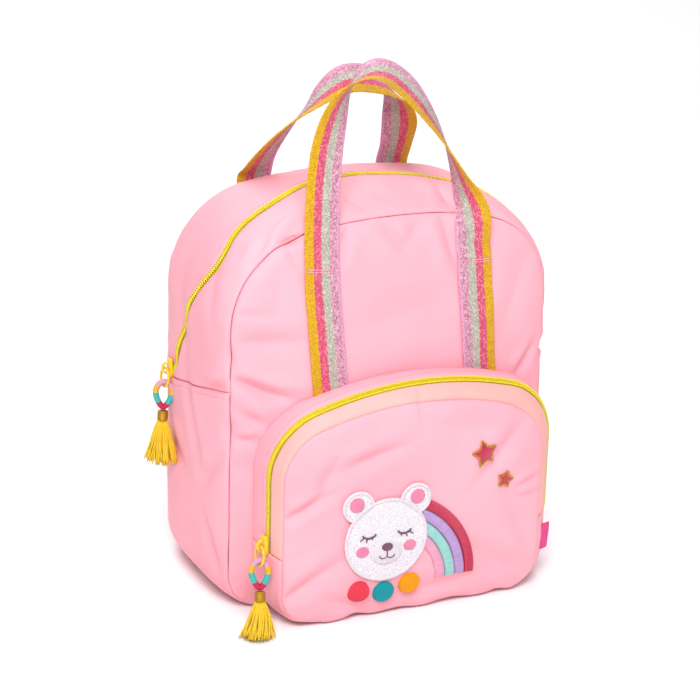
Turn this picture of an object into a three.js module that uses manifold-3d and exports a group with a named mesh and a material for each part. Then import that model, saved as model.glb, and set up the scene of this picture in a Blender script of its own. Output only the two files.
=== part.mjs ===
// A child's small backpack with an arched body, a zipped front pocket, two webbing
// handles, two padded shoulder straps and an animal patch on the pocket.
// Millimetres. X runs to the right seen from the front, Y to the back, Z up.
// The origin is on the floor, in the middle of the body's base.
import * as THREE from "three";
import Module from "manifold-3d";
import { TessellateModifier } from "three/addons/modifiers/TessellateModifier.js";
import { mergeVertices } from "three/addons/utils/BufferGeometryUtils.js";

const wasm = await Module();
wasm.setup();

// Body
const bodyHalfWidth = 117;
const bodyHeight = 272;
const bodyDepth = 114;
const bodyCorner = 66; // shoulder radius
const bodyTopRadius = 450;
const bodyFootCorner = 27;
const wall = 2; // lined cloth
const seamGap = 0.3; // between pieces that are sewn edge to edge
const layGap = 0.5; // between a piece and the soft face that it lies on
const frontDome = 15;
const backDome = 3;
const gussetBulge = 8;

// Zips
const zipSlot = 5.4;
const zipThick = 2.6;
const seamHeightFront = 161; // where the zipped gusset meets the base gusset, at the front seam
const seamHeightBack = 135;

// Pocket
const pocketHalfWidth = 106.5;
const pocketAcross = 4.5; // the stuffed pocket leans to the right
const pocketFaceAcross = 2;
const pocketTop = 166;
const pocketCorner = 48;
const pocketTopRadius = 230;
const pocketFootCorner = 30;
const pocketFoot = 0.8;
const pocketDepth = 42;
const pocketFaceInset = 9.2; // the face is this much narrower than the pocket's back edge
const pocketFaceDrop = 12; // and this much lower
const pocketDome = 7;
const pocketBulgeLeft = 1.5;
const pocketBulgeRight = 8;
const pocketSeamHeight = 56;
const pocketZipShare = 0.6; // where the zip runs, from the back edge to the face

// Webbing handles
const webbing = 25;
const webbingThick = 1.6;
const webbingGap = 0.7; // under the sewn legs
const handleSpread = 55; // from the middle to the middle of a leg
const stitchDrop = 29; // the front handle is sewn down as high as this below the bag's top
const frontHandleRise = 122; // above its stitching
const frontHandleLean = 28; // how far its top leans back
const sewnStep = 7; // how far apart a leg's ends lie, sewn and free, from upright
const backSeamDrop = 10; // the back handle's legs end this far below the bag's top
const backHandleRise = 81;
const backHandleLean = 32;

// Zip pulls
const sliderLength = 14;
const sliderWidth = 7.6;
const sliderThick = 2.6;
const sliderGap = 0.8; // over the coil, which bends under it
const bridgeRadius = 4.2;
const bridgeWire = 1.6;
const ringWire = 1.8;
const ringWidth = 12.6;
const ringLength = 15;
const loopCord = 4.2;
const loopWidth = 16;
const loopLength = 22;
const collarRadius = 3.8;
const collarLength = 7.7;
const mainSkirtLength = 32;
const pocketSkirtLength = 26.5; // its ends bend on the floor
const floorGap = 0.4; // under the lowest thread ends
const skirtSpread = 9.5;
const ringTurn = -82; // degrees from level across, seen from above
const loopTurn = -22;
const loopPinch = 0.45; // how far its lower end narrows
const mainSliderHeight = 147;
const pocketSliderHeight = 62;

// Side tab on the pocket
const tabWidth = 8;
const tabShare = 0.86; // how far forward on the pocket's side
const tabHeight = 19;
const tabThick = 1.2;
const tabBottom = 25;

// Shoulder straps
const strapWidth = 40;
const strapThick = 6;
const strapTopHeight = 232;
const strapTopSide = 30;
const strapEndHeight = 96;
const strapEndSide = 62;
const strapBow = 18;
const tailWebbing = 20;
const tailThick = 1.2;
const tailSide = 90;
const tailHeight = 22;
const buckleWidth = 28;
const buckleHeight = 24;
const buckleBar = 3.4;
const buckleThick = 3;

// Patch on the pocket
const patchThick = 1.3;
const patchGap = 0.3; // between the patch and the pocket
const headRadius = 30;
const headAcross = -22;
const headHeight = 60;
const earRadius = 11;
const earSpread = 21;
const earRise = 27;
const bandCentreHeight = 24;
const bandInnerRadius = 38;
const bandWidth = 7.6;
const bandCount = 4;
const bandTurn = 63; // degrees up from level
const discRadius = 8;
const discThick = 2.6;
const starThick = 1.4;
const largeStarRadius = 9.5;
const largeStarAcross = 50;
const largeStarHeight = 112;
const smallStarRadius = 6.5;
const smallStarAcross = 67;
const smallStarHeight = 90;
const patchFacet = 15; // the longest edge of a laid face

const stitchHeight = bodyHeight - stitchDrop;
const backSeamHeight = bodyHeight - backSeamDrop;

const clothPink = 0xf7a9bd;
const linerPeach = 0xfbc0ba;
const zipYellow = 0xe8d22c;
const tasselYellow = 0xf6bd12;

const lerp = (a, b, t) => a + (b - a) * t;
const clamp01 = (t) => Math.min(1, Math.max(0, t));
const smooth = (t) => clamp01(t) ** 2 * (3 - 2 * clamp01(t));
const radians = THREE.MathUtils.degToRad;

// An arch: a level foot with round corners, upright sides, round shoulders and a
// shallow round top. place() walks half of it, from the middle of the foot.
class Arch {
  constructor({ across = 0, halfWidth, top, corner, topRadius, foot, footCorner }) {
    Object.assign(this, { across, halfWidth, top, corner, topRadius, foot, footCorner });
    const reach = topRadius - corner;
    this.cornerX = halfWidth - corner;
    this.cornerZ = top - topRadius + Math.sqrt(reach ** 2 - this.cornerX ** 2);
    this.turn = Math.acos(this.cornerX / reach);
    this.footEnd = halfWidth - footCorner;
    this.cornerStart = this.footEnd + (footCorner * Math.PI) / 2;
    this.sideEnd = this.cornerStart + this.cornerZ - foot - footCorner;
    this.shoulderEnd = this.sideEnd + corner * this.turn;
    this.half = this.shoulderEnd + topRadius * (Math.PI / 2 - this.turn);
  }

  // The point and outward normal at a distance along the arch; a minus distance is the left side.
  place(distance) {
    const side = distance < 0 ? -1 : 1;
    const d = Math.min(Math.abs(distance), this.half);
    const round = (cx, cz, radius, angle) => ({
      x: this.across + side * (cx + radius * Math.cos(angle)),
      z: cz + radius * Math.sin(angle),
      nx: side * Math.cos(angle),
      nz: Math.sin(angle),
    });
    if (d < this.footEnd) return { x: this.across + side * d, z: this.foot, nx: 0, nz: -1 };
    if (d < this.cornerStart) {
      const angle = (d - this.footEnd) / this.footCorner - Math.PI / 2;
      return round(this.footEnd, this.foot + this.footCorner, this.footCorner, angle);
    }
    if (d < this.sideEnd) {
      const z = this.foot + this.footCorner + d - this.cornerStart;
      return { x: this.across + side * this.halfWidth, z, nx: side, nz: 0 };
    }
    if (d < this.shoulderEnd) {
      return round(this.cornerX, this.cornerZ, this.corner, (d - this.sideEnd) / this.corner);
    }
    const angle = this.turn + (d - this.shoulderEnd) / this.topRadius;
    return round(0, this.top - this.topRadius, this.topRadius, angle);
  }

  // The distance along the side at a height.
  along(height) {
    return this.cornerStart + height - this.foot - this.footCorner;
  }

  // How far out the arch reaches at a height.
  reach(z) {
    const rootOf = (radius, rise) => Math.sqrt(Math.max(0, radius ** 2 - rise ** 2));
    if (z < this.foot || z > this.top) return 0;
    if (z < this.foot + this.footCorner) {
      return this.footEnd + rootOf(this.footCorner, this.foot + this.footCorner - z);
    }
    if (z < this.cornerZ) return this.halfWidth;
    if (z < this.cornerZ + this.corner * Math.sin(this.turn)) {
      return this.cornerX + rootOf(this.corner, z - this.cornerZ);
    }
    return rootOf(this.topRadius, z - this.top + this.topRadius);
  }

  // How high the arch is above a place on its foot.
  height(x) {
    const beside = Math.abs(x - this.across) - this.cornerX;
    const overShoulder = beside > this.corner * Math.cos(this.turn);
    if (overShoulder) return this.cornerZ + Math.sqrt(Math.max(0, this.corner ** 2 - beside ** 2));
    return this.top - this.topRadius + Math.sqrt(this.topRadius ** 2 - (x - this.across) ** 2);
  }

  // 0 at the middle of the face and 1 at its edge.
  share(x, z) {
    const middle = (this.foot + this.top) / 2;
    let inside = 0;
    let outside = 4;
    for (let step = 0; step < 30; step += 1) {
      const t = (inside + outside) / 2;
      if (Math.abs(x - this.across) * t < this.reach(middle + (z - middle) * t)) inside = t;
      else outside = t;
    }
    return 1 / inside;
  }

  // A point of the face for a square grid from -1 to 1 each way, whose rings follow the arch.
  face(u, v) {
    const ring = Math.max(Math.abs(u), Math.abs(v));
    const middle = (this.foot + this.top) / 2;
    if (ring < 1e-6) return { x: this.across, z: middle };
    const [a, b] = [u / ring, v / ring];
    const lowCorner = (this.footEnd + this.cornerStart) / 2;
    const highCorner = (this.sideEnd + this.shoulderEnd) / 2;
    let distance;
    if (b <= -1 + 1e-9) distance = Math.abs(a) * lowCorner;
    else if (b >= 1 - 1e-9) distance = lerp(this.half, highCorner, Math.abs(a));
    else distance = lerp(lowCorner, highCorner, (b + 1) / 2);
    const edge = this.place(distance);
    const beside = ring * (edge.x - this.across) * Math.sign(a || 1);
    return { x: this.across + beside, z: lerp(middle, edge.z, ring) };
  }
}

const body = new Arch({
  halfWidth: bodyHalfWidth,
  top: bodyHeight,
  corner: bodyCorner,
  topRadius: bodyTopRadius,
  foot: 0,
  footCorner: bodyFootCorner,
});
const pocketBack = new Arch({
  across: pocketAcross,
  halfWidth: pocketHalfWidth,
  top: pocketTop,
  corner: pocketCorner,
  topRadius: pocketTopRadius,
  foot: pocketFoot,
  footCorner: pocketFootCorner,
});
const pocketFace = new Arch({
  across: pocketFaceAcross,
  halfWidth: pocketHalfWidth - pocketFaceInset,
  top: pocketTop - pocketFaceDrop,
  corner: pocketCorner - pocketFaceInset,
  topRadius: pocketTopRadius,
  foot: pocketFoot,
  footCorner: pocketFootCorner - pocketFaceInset / 2,
});

// Folds, a row each. across and up place the middle, as shares of the half width and the
// height of the arch; heading is degrees from level; length and width are shares of its
// half width; depth is in wall thicknesses, a minus depth being a dent.
const frontFolds = [
  { across: -0.64, up: 0.9, heading: 38, length: 0.42, width: 0.07, depth: -1.7 },
  { across: -0.86, up: 0.62, heading: -24, length: 0.2, width: 0.06, depth: 0.9 },
  { across: -0.84, up: 0.53, heading: -8, length: 0.2, width: 0.05, depth: -0.8 },
  { across: 0.88, up: 0.6, heading: 32, length: 0.2, width: 0.06, depth: -0.9 },
  { across: 0.0, up: 0.9, heading: -38, length: 0.24, width: 0.06, depth: 0.6 },
];
const pocketFolds = [
  { across: -0.3, up: 0.76, heading: 24, length: 0.4, width: 0.1, depth: -0.9 },
  { across: -0.78, up: 0.36, heading: 22, length: 0.3, width: 0.09, depth: -0.9 },
  { across: 0.8, up: 0.8, heading: 34, length: 0.24, width: 0.08, depth: -0.5 },
];

function foldDepth(folds, arch, x, z) {
  let total = 0;
  for (const fold of folds) {
    const angle = radians(fold.heading);
    const dx = x - arch.across - fold.across * arch.halfWidth;
    const dz = z - lerp(arch.foot, arch.top, fold.up);
    const along = (dx * Math.cos(angle) + dz * Math.sin(angle)) / (fold.length * arch.halfWidth);
    const aside = (dz * Math.cos(angle) - dx * Math.sin(angle)) / (fold.width * arch.halfWidth);
    total += fold.depth * wall * Math.exp(-(along ** 2) - aside ** 2);
  }
  return total;
}

// How far a stuffed face stands proud of its seam: 0 at the edge, rising fast, then flat.
const crown = (rise, share) => rise * Math.max(0, 1 - share ** 2.6) ** 0.75;

function frontFace(x, z) {
  const share = Math.min(1, body.share(x, z));
  const lift = foldDepth(frontFolds, body, x, z) * (1 - share ** 8);
  return -bodyDepth / 2 - crown(frontDome, share) - lift;
}

function backFace(x, z) {
  return bodyDepth / 2 + crown(backDome, Math.min(1, body.share(x, z)));
}

function pocketFront(x, z) {
  const share = Math.min(1, pocketFace.share(x, z));
  const lift = foldDepth(pocketFolds, pocketFace, x, z) * (1 - share ** 8);
  return -bodyDepth / 2 - pocketDepth - crown(pocketDome, share) - lift;
}

// The gusset between the two faces. inward is measured through the wall from its outside.
function gusset(distance, y, inward) {
  const edge = body.place(distance);
  const across = Math.min(1, Math.abs((2 * y) / bodyDepth));
  const raised = smooth((Math.abs(distance) - body.footEnd) / (bodyFootCorner * 1.6));
  const out = gussetBulge * raised * (1 - across ** 4) - inward;
  return new THREE.Vector3(edge.x + edge.nx * out, y, edge.z + edge.nz * out);
}

// The main zip's place across the gusset, as shares of the depth from the middle to the
// back, at shares of its run from the low end to the middle of the top.
const zipRun = [
  { run: 0, back: 0.6 },
  { run: 0.06, back: 0.43 },
  { run: 0.165, back: 0.2 },
  { run: 0.28, back: -0.1 },
  { run: 0.37, back: -0.37 },
  { run: 0.44, back: -0.43 },
  { run: 0.53, back: -0.33 },
  { run: 0.66, back: -0.22 },
  { run: 0.8, back: 0.08 },
  { run: 0.9, back: 0.18 },
  { run: 1, back: 0.24 },
  { run: 1.1, back: 0.18 }, // over the middle, on the way down again
];

// A smooth curve through the rows of a table, read at a place in its first column.
function through(rows, at, column, key) {
  let i = 0;
  while (i < rows.length - 2 && rows[i + 1][at.key] < at.value) i += 1;
  const [p, q] = [rows[i], rows[i + 1]];
  const before = rows[i - 1] ?? p;
  const after = rows[i + 2] ?? q;
  const span = q[key] - p[key];
  const t = clamp01((at.value - p[key]) / span);
  const slope = (a, b) => ((b[column] - a[column]) / (b[key] - a[key] || 1)) * span;
  const [m, n] = [slope(before, q), slope(p, after)];
  const [t2, t3] = [t * t, t * t * t];
  return (
    (2 * t3 - 3 * t2 + 1) * p[column] +
    (t3 - 2 * t2 + t) * m +
    (3 * t2 - 2 * t3) * q[column] +
    (t3 - t2) * n
  );
}

const zipDepth = (run) =>
  (through(zipRun, { key: "run", value: run }, "back", "run") * bodyDepth) / 2;

// The seam across the side, where the base gusset ends.
const seamAlong = (y) => {
  const height = lerp(seamHeightFront, seamHeightBack, y / bodyDepth + 0.5);
  return body.along(height);
};

// Positions alone, with the vertices shared.
function bare(geometry) {
  const copy = geometry.clone();
  copy.deleteAttribute("normal");
  copy.deleteAttribute("uv");
  return mergeVertices(copy, 1e-4);
}

// The unit box bent by map(u, v, w), each from 0 to 1, into a closed geometry facing out.
function bentBox(across, up, deep, map) {
  const geometry = bare(new THREE.BoxGeometry(1, 1, 1, across, up, deep));
  const position = geometry.getAttribute("position");
  for (let i = 0; i < position.count; i += 1) {
    const point = map(position.getX(i) + 0.5, position.getY(i) + 0.5, position.getZ(i) + 0.5);
    position.setXYZ(i, point.x, point.y, point.z);
  }
  return facingOut(geometry);
}

function facingOut(geometry) {
  const { array } = geometry.getAttribute("position");
  const index = geometry.index.array;
  const corner = (k) => new THREE.Vector3().fromArray(array, 3 * index[k]);
  let volume = 0;
  for (let k = 0; k < index.length; k += 3) {
    volume += corner(k).dot(corner(k + 1).cross(corner(k + 2)));
  }
  if (volume < 0) {
    for (let k = 0; k < index.length; k += 3) {
      [index[k + 1], index[k + 2]] = [index[k + 2], index[k + 1]];
    }
  }
  return geometry;
}

function solidOf(geometry) {
  const merged = bare(geometry);
  return new wasm.Manifold(
    new wasm.Mesh({
      numProp: 3,
      vertProperties: new Float32Array(merged.getAttribute("position").array),
      triVerts: new Uint32Array(merged.index.array),
    }),
  );
}

function geometryOf(solid) {
  const mesh = solid.getMesh();
  const geometry = new THREE.BufferGeometry();
  geometry.setAttribute("position", new THREE.BufferAttribute(mesh.vertProperties, 3));
  geometry.setIndex(new THREE.BufferAttribute(mesh.triVerts, 1));
  return geometry;
}

const joined = (geometries) =>
  geometryOf(geometries.map(solidOf).reduce((whole, piece) => whole.add(piece)));

const bag = new THREE.Group();

function add(name, geometry, color, roughness = 0.85, metalness = 0) {
  const material = new THREE.MeshStandardMaterial({ color, roughness, metalness });
  const mesh = new THREE.Mesh(geometry, material);
  mesh.name = name;
  bag.add(mesh);
  return mesh;
}

// Faces

function facePanel(arch, columns, rows, depthAt, inwards) {
  return bentBox(columns, rows, 1, (u, v, w) => {
    const { x, z } = arch.face(2 * u - 1, 2 * v - 1);
    return new THREE.Vector3(x, depthAt(x, z) + inwards * w * wall, z);
  });
}

add("front_panel", facePanel(body, 16, 18, frontFace, 1), clothPink);
add("back_panel", facePanel(body, 10, 12, backFace, -1), clothPink);
add("pocket_panel", facePanel(pocketFace, 14, 14, pocketFront, 1), clothPink);

// Gussets

const gussetFront = -bodyDepth / 2 + wall + seamGap;
const gussetBack = bodyDepth / 2 - wall - seamGap;

// A run of the gusset over the top, from end to end, between two lines across its depth.
const topSegments = 40;

function topBand(rows, low, high) {
  return bentBox(topSegments, rows, 1, (u, v, w) => {
    const side = u < 0.5 ? -1 : 1;
    const run = 1 - Math.abs(2 * u - 1);
    const y = lerp(low(run), high(run), v);
    return gusset(side * lerp(seamAlong(y) + seamGap, body.half, run), y, w * wall);
  });
}

add(
  "zip_gusset_front",
  topBand(4, () => gussetFront, (run) => zipDepth(run) - zipSlot / 2),
  clothPink,
);
add(
  "zip_gusset_back",
  topBand(2, (run) => zipDepth(run) + zipSlot / 2, () => gussetBack),
  clothPink,
);
add(
  "base_gusset",
  bentBox(36, 5, 1, (u, v, w) => {
    const y = lerp(gussetFront, gussetBack, v);
    return gusset((2 * u - 1) * seamAlong(y), y, w * wall);
  }),
  clothPink,
);

// Zips: a crowned strip that fills the slot with a hair of room on each side.

const zipHalf = zipSlot / 2 - seamGap;
const zipCrown = 0.6;

add(
  "main_zip",
  bentBox(topSegments, 2, 1, (u, v, w) => {
    const side = u < 0.5 ? -1 : 1;
    const run = 1 - Math.abs(2 * u - 1);
    const y = zipDepth(run) + lerp(-zipHalf, zipHalf, v);
    const outward = zipCrown * (1 - Math.abs(2 * v - 1)) * (1 - w);
    return gusset(side * lerp(seamAlong(y) + seamGap, body.half, run), y, w * zipThick - outward);
  }),
  zipYellow,
  0.5,
);

// The pocket's gusset, ruled from its back edge on the front face to its own face. shift
// is 0 at the back edge and 1 at the face; a run is a share of the half perimeter.
function pocketSide(run, shift, inward) {
  const back = pocketBack.place(run * pocketBack.half);
  const face = pocketFace.place(run * pocketFace.half);
  const backY = frontFace(back.x, back.z) - layGap;
  const faceY = -bodyDepth / 2 - pocketDepth + wall + seamGap;
  const raised = smooth((Math.abs(run) * pocketBack.half - pocketBack.footEnd) / pocketFootCorner);
  const bulge = lerp(pocketBulgeLeft, pocketBulgeRight, smooth((1 + back.nx) / 2));
  const out = bulge * raised * 4 * shift * (1 - shift) - inward;
  return new THREE.Vector3(
    lerp(back.x, face.x, shift) + back.nx * out,
    lerp(backY, faceY, shift),
    lerp(back.z, face.z, shift) + back.nz * out,
  );
}

const pocketSeamRun = pocketBack.along(pocketSeamHeight) / pocketBack.half;
const pocketGapRun = seamGap / pocketBack.half;
const pocketSlotShare = zipSlot / pocketDepth / 2;

function pocketBand(segments, rows, low, high, thick, crownRise) {
  return bentBox(segments, rows, 1, (u, v, w) => {
    const side = u < 0.5 ? -1 : 1;
    const run = side * lerp(pocketSeamRun + pocketGapRun, 1, 1 - Math.abs(2 * u - 1));
    const outward = crownRise * (1 - Math.abs(2 * v - 1)) * (1 - w);
    return pocketSide(run, lerp(low, high, v), w * thick - outward);
  });
}

const zipShareHalf = pocketSlotShare * (1 - (2 * seamGap) / zipSlot);

add("pocket_gusset_back", pocketBand(30, 2, 0, pocketZipShare - pocketSlotShare, wall, 0), clothPink);
add("pocket_gusset_front", pocketBand(30, 2, pocketZipShare + pocketSlotShare, 1, wall, 0), linerPeach);
add(
  "pocket_zip",
  pocketBand(30, 2, pocketZipShare - zipShareHalf, pocketZipShare + zipShareHalf, zipThick, zipCrown),
  zipYellow,
  0.5,
);
add(
  "pocket_base_gusset",
  bentBox(26, 3, 1, (u, v, w) => pocketSide((2 * u - 1) * pocketSeamRun, v, w * wall)),
  clothPink,
);

// What is sewn flat on a face lies on its crown and bridges the dents.
const frontCrown = (x, z) => -bodyDepth / 2 - crown(frontDome, Math.min(1, body.share(x, z)));
const pocketCrown = (x, z) =>
  -bodyDepth / 2 - pocketDepth - crown(pocketDome, Math.min(1, pocketFace.share(x, z)));

// Webbing handles. A row places the middle of the webbing and turns it about its run:
// across in shares of the spread, lean and rise in shares of the handle's own, and twist in
// degrees, -90 lying flat on the face and 0 edge to the front.
const frontHandleRoute = [
  { across: -1.05, lean: 0, rise: 0, twist: -90 },
  { across: -0.98, lean: 0.24, rise: 0.25, twist: -91 },
  { across: -0.91, lean: 0.49, rise: 0.47, twist: -87 },
  { across: -0.8, lean: 0.71, rise: 0.68, twist: -80 },
  { across: -0.62, lean: 0.87, rise: 0.86, twist: -56 },
  { across: -0.35, lean: 0.97, rise: 0.98, twist: -10 },
  { across: -0.04, lean: 1, rise: 1, twist: 32 },
  { across: 0.28, lean: 0.96, rise: 0.9, twist: 43 },
  { across: 0.57, lean: 0.85, rise: 0.73, twist: 32 },
  { across: 0.79, lean: 0.67, rise: 0.54, twist: 13 },
  { across: 0.94, lean: 0.46, rise: 0.34, twist: -14 },
  { across: 1.01, lean: 0.22, rise: 0.15, twist: -52 },
  { across: 0.98, lean: 0, rise: 0, twist: -90 },
];
const backHandleRoute = [
  { across: -0.98, lean: 0, rise: 0, twist: -90 },
  { across: -0.97, lean: 0.03, rise: 0.13, twist: -90 },
  { across: -0.95, lean: 0.36, rise: 0.3, twist: -66 },
  { across: -0.86, lean: 0.65, rise: 0.47, twist: -49 },
  { across: -0.69, lean: 0.86, rise: 0.64, twist: -33 },
  { across: -0.47, lean: 0.98, rise: 0.79, twist: -13 },
  { across: -0.24, lean: 1, rise: 0.92, twist: 13 },
  { across: 0.03, lean: 0.96, rise: 1, twist: 34 },
  { across: 0.34, lean: 0.89, rise: 0.98, twist: 37 },
  { across: 0.62, lean: 0.79, rise: 0.89, twist: 19 },
  { across: 0.81, lean: 0.66, rise: 0.74, twist: -17 },
  { across: 0.9, lean: 0.5, rise: 0.54, twist: -58 },
  { across: 0.94, lean: 0.25, rise: 0.32, twist: -85 },
  { across: 0.94, lean: 0.03, rise: 0.13, twist: -90 },
  { across: 0.94, lean: 0, rise: 0, twist: -90 },
];

// A strip along a list of stations, each with its middle and the unit way across it.
function strip(stations, width, thick, square = null) {
  const runs = stations.length - 1;
  return bentBox(2, runs, 1, (u, v, w) => {
    const i = Math.round(v * runs);
    const { middle, across, normal } = stations[i];
    const point = middle.clone().addScaledVector(across, (u - 0.5) * width);
    point.addScaledVector(normal, (w - 0.5) * thick);
    return square ? square(point, i, w) : point;
  });
}

function turnedStations(points, twists) {
  const curve = new THREE.CatmullRomCurve3(points, false, "catmullrom", 0.5);
  const perSpan = 3;
  const count = (points.length - 1) * perSpan;
  const back = new THREE.Vector3(0, 1, 0);
  return Array.from({ length: count + 1 }, (_, i) => {
    const t = i / count;
    const tangent = curve.getTangent(t);
    const first = back.clone().addScaledVector(tangent, -back.dot(tangent)).normalize();
    const second = tangent.clone().cross(first);
    const at = t * (twists.length - 1);
    const low = Math.min(Math.floor(at), twists.length - 2);
    const twist = radians(lerp(twists[low], twists[low + 1], at - low));
    const across = first.multiplyScalar(Math.cos(twist)).addScaledVector(second, Math.sin(twist));
    return { middle: curve.getPoint(t), across, normal: tangent.cross(across) };
  });
}

// A leg of the front handle from behind the pocket's top seam to its stitching.
function sewnLeg(side) {
  const rows = 7;
  const top = side < 0 ? frontHandleRoute[0] : frontHandleRoute.at(-1);
  const legX = (height) =>
    top.across * handleSpread + (sewnStep * (stitchHeight - height)) / (stitchHeight - pocketTop);
  return Array.from({ length: rows }, (_, i) => {
    const share = i / rows;
    const height = lerp(pocketTop - 6, stitchHeight, share);
    const middle = new THREE.Vector3(legX(height), 0, height);
    return { middle, across: new THREE.Vector3(-side, 0, 0), normal: new THREE.Vector3(0, 1, 0) };
  });
}

const overPocketSeam = seamGap + 0.4;

function frontHandle() {
  const rest = webbingGap + webbingThick / 2;
  const low = frontCrown(handleSpread, stitchHeight) - rest;
  const points = frontHandleRoute.map(
    (row) =>
      new THREE.Vector3(
        row.across * handleSpread,
        low + row.lean * frontHandleLean,
        stitchHeight + row.rise * frontHandleRise,
      ),
  );
  const free = turnedStations(points, frontHandleRoute.map((row) => row.twist));
  const left = sewnLeg(-1);
  const right = sewnLeg(1).reverse();
  const stations = [...left, ...free, ...right];
  return strip(stations, webbing, webbingThick, (point, i, w) => {
    const sewn = i < left.length || i >= left.length + free.length;
    const end = i === 0 || i === stations.length - 1;
    const z = end ? pocketBack.height(point.x) + overPocketSeam : point.z;
    const onPanel = frontCrown(point.x, z) - rest + (w - 0.5) * webbingThick;
    if (sewn) return new THREE.Vector3(point.x, onPanel, z);
    if (z < bodyHeight + gussetBulge) point.y = Math.min(point.y, onPanel);
    return point;
  });
}

function backHandle() {
  const rest = backFace(handleSpread, backSeamHeight) + layGap + webbingThick / 2;
  const points = backHandleRoute.map(
    (row) =>
      new THREE.Vector3(
        row.across * handleSpread,
        rest - row.lean * backHandleLean,
        backSeamHeight + row.rise * backHandleRise,
      ),
  );
  return strip(
    turnedStations(points, backHandleRoute.map((row) => row.twist)),
    webbing,
    webbingThick,
  );
}

add("handle_front", frontHandle(), 0xd9a8b8, 0.8);
add("handle_back", backHandle(), 0xd9a8b8, 0.8);

// Zip pulls. Each hangs along one line from its slider's bridge.

class ClosedCurve extends THREE.Curve {
  constructor(pointAt) {
    super();
    this.pointAt = pointAt;
  }
  getPoint(t) {
    return this.pointAt(2 * Math.PI * t);
  }
}

// A closed wire round a flat path, as rings of a torus mapped on the path. pinch narrows
// its lower end.
function loopOfWire(
  { centre, wide, halfWide, halfLong, radius, pinch = 0 },
  long,
  steps,
  sides,
) {
  const geometry = bare(new THREE.TorusGeometry(1, 0.25, sides, steps));
  const flat = wide.clone().cross(long).normalize();
  const position = geometry.getAttribute("position");
  const path = (angle) => {
    const narrow = 1 - pinch * smooth((1 + Math.sin(angle - Math.PI)) / 2 - 0.25);
    return centre
      .clone()
      .addScaledVector(wide, halfWide * Math.cos(angle) * narrow)
      .addScaledVector(long, -halfLong * Math.sin(angle));
  };
  const curve = new ClosedCurve(path);
  for (let i = 0; i < position.count; i += 1) {
    const [x, y, z] = [position.getX(i), position.getY(i), position.getZ(i)];
    const t = (Math.atan2(y, x) / (2 * Math.PI) + 1) % 1;
    const tangent = curve.getTangent(t);
    const out = tangent.clone().cross(flat);
    const point = curve.getPoint(t);
    point.addScaledVector(out, ((Math.hypot(x, y) - 1) / 0.25) * radius);
    point.addScaledVector(flat, (z / 0.25) * radius);
    position.setXYZ(i, point.x, point.y, point.z);
  }
  return facingOut(geometry);
}

// A slider plate with its bridge, at a place on the zip. out faces away from the bag and
// down runs along the zip to its end.
function slider(place, out, down) {
  const side = out.clone().cross(down).normalize();
  const plate = bentBox(2, 4, 1, (u, v, w) => {
    const taper = 1 - 0.3 * Math.abs(2 * v - 1) ** 3;
    return place
      .clone()
      .addScaledVector(side, (u - 0.5) * sliderWidth * taper * (1 - 0.12 * w))
      .addScaledVector(down, (v - 0.5) * sliderLength)
      .addScaledVector(out, w * sliderThick);
  });
  const bridge = new THREE.TorusGeometry(bridgeRadius, bridgeWire / 2, 6, 10, Math.PI);
  const turn = new THREE.Matrix4().makeBasis(down, out, down.clone().cross(out));
  turn.setPosition(place.clone().addScaledVector(out, sliderThick - bridgeWire / 4));
  const capped = tubeOfArc(bridge);
  capped.applyMatrix4(turn);
  return joined([plate, capped]);
}

// A half torus with its two ends closed.
function tubeOfArc(torus) {
  const { arc, radialSegments, tubularSegments } = torus.parameters;
  const merged = bare(torus);
  const index = [...merged.index.array];
  const position = merged.getAttribute("position");
  const ringAt = (angle) => {
    const found = [];
    for (let i = 0; i < position.count; i += 1) {
      const here = Math.atan2(position.getY(i), position.getX(i));
      if (Math.abs(here - angle) < 1e-3) found.push(i);
    }
    const around = (i) =>
      Math.atan2(
        position.getZ(i),
        Math.hypot(position.getX(i), position.getY(i)) - torus.parameters.radius,
      );
    return found.sort((a, b) => around(a) - around(b));
  };
  const first = ringAt(0);
  const last = ringAt(arc);
  for (let k = 1; k < radialSegments - 1; k += 1) {
    index.push(first[0], first[k], first[k + 1]);
    index.push(last[0], last[k + 1], last[k]);
  }
  merged.setIndex(index);
  return merged;
}

// The thread ends below a collar: locks side by side round a core, with uneven tips.
function skirt(top, hang, length) {
  const locks = 9;
  const geometry = bare(new THREE.CylinderGeometry(1, 1, 1, locks * 2, 4));
  const wide = new THREE.Vector3(1, 0, 0).addScaledVector(hang, -hang.x).normalize();
  const deep = hang.clone().cross(wide);
  const position = geometry.getAttribute("position");
  for (let i = 0; i < position.count; i += 1) {
    const [x, y, z] = [position.getX(i), position.getY(i), position.getZ(i)];
    const fall = 0.5 - y;
    const angle = Math.atan2(z, x);
    const groove = Math.cos(locks * angle) > 0 ? 1 : 1 - 0.16 * fall;
    const tip = 1 - 0.05 * (1 + Math.sin(3.7 * angle)) * fall;
    const flare = collarRadius * 0.86 + (skirtSpread - collarRadius) * fall ** 0.75;
    const reach = flare * groove * Math.hypot(x, z);
    const point = top
      .clone()
      .addScaledVector(wide, reach * Math.cos(angle))
      .addScaledVector(deep, reach * 0.8 * Math.sin(angle))
      .addScaledVector(hang, fall * tip * length);
    position.setXYZ(i, point.x, point.y, Math.max(point.z, floorGap));
  }
  return facingOut(geometry);
}

// A collar of wound gold thread: a short barrel.
function collar(top, hang) {
  const points = [
    [0, 0],
    [0.86, 0],
    [1, 0.18],
    [0.95, 0.5],
    [1, 0.82],
    [0.86, 1],
    [0, 1],
  ].map(([r, along]) => new THREE.Vector2(r * collarRadius, -along * collarLength));
  const geometry = bare(new THREE.LatheGeometry(points, 12));
  const upright = new THREE.Quaternion().setFromUnitVectors(
    new THREE.Vector3(0, -1, 0),
    hang,
  );
  geometry.applyQuaternion(upright);
  geometry.translate(top.x, top.y, top.z);
  return facingOut(geometry);
}

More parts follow.
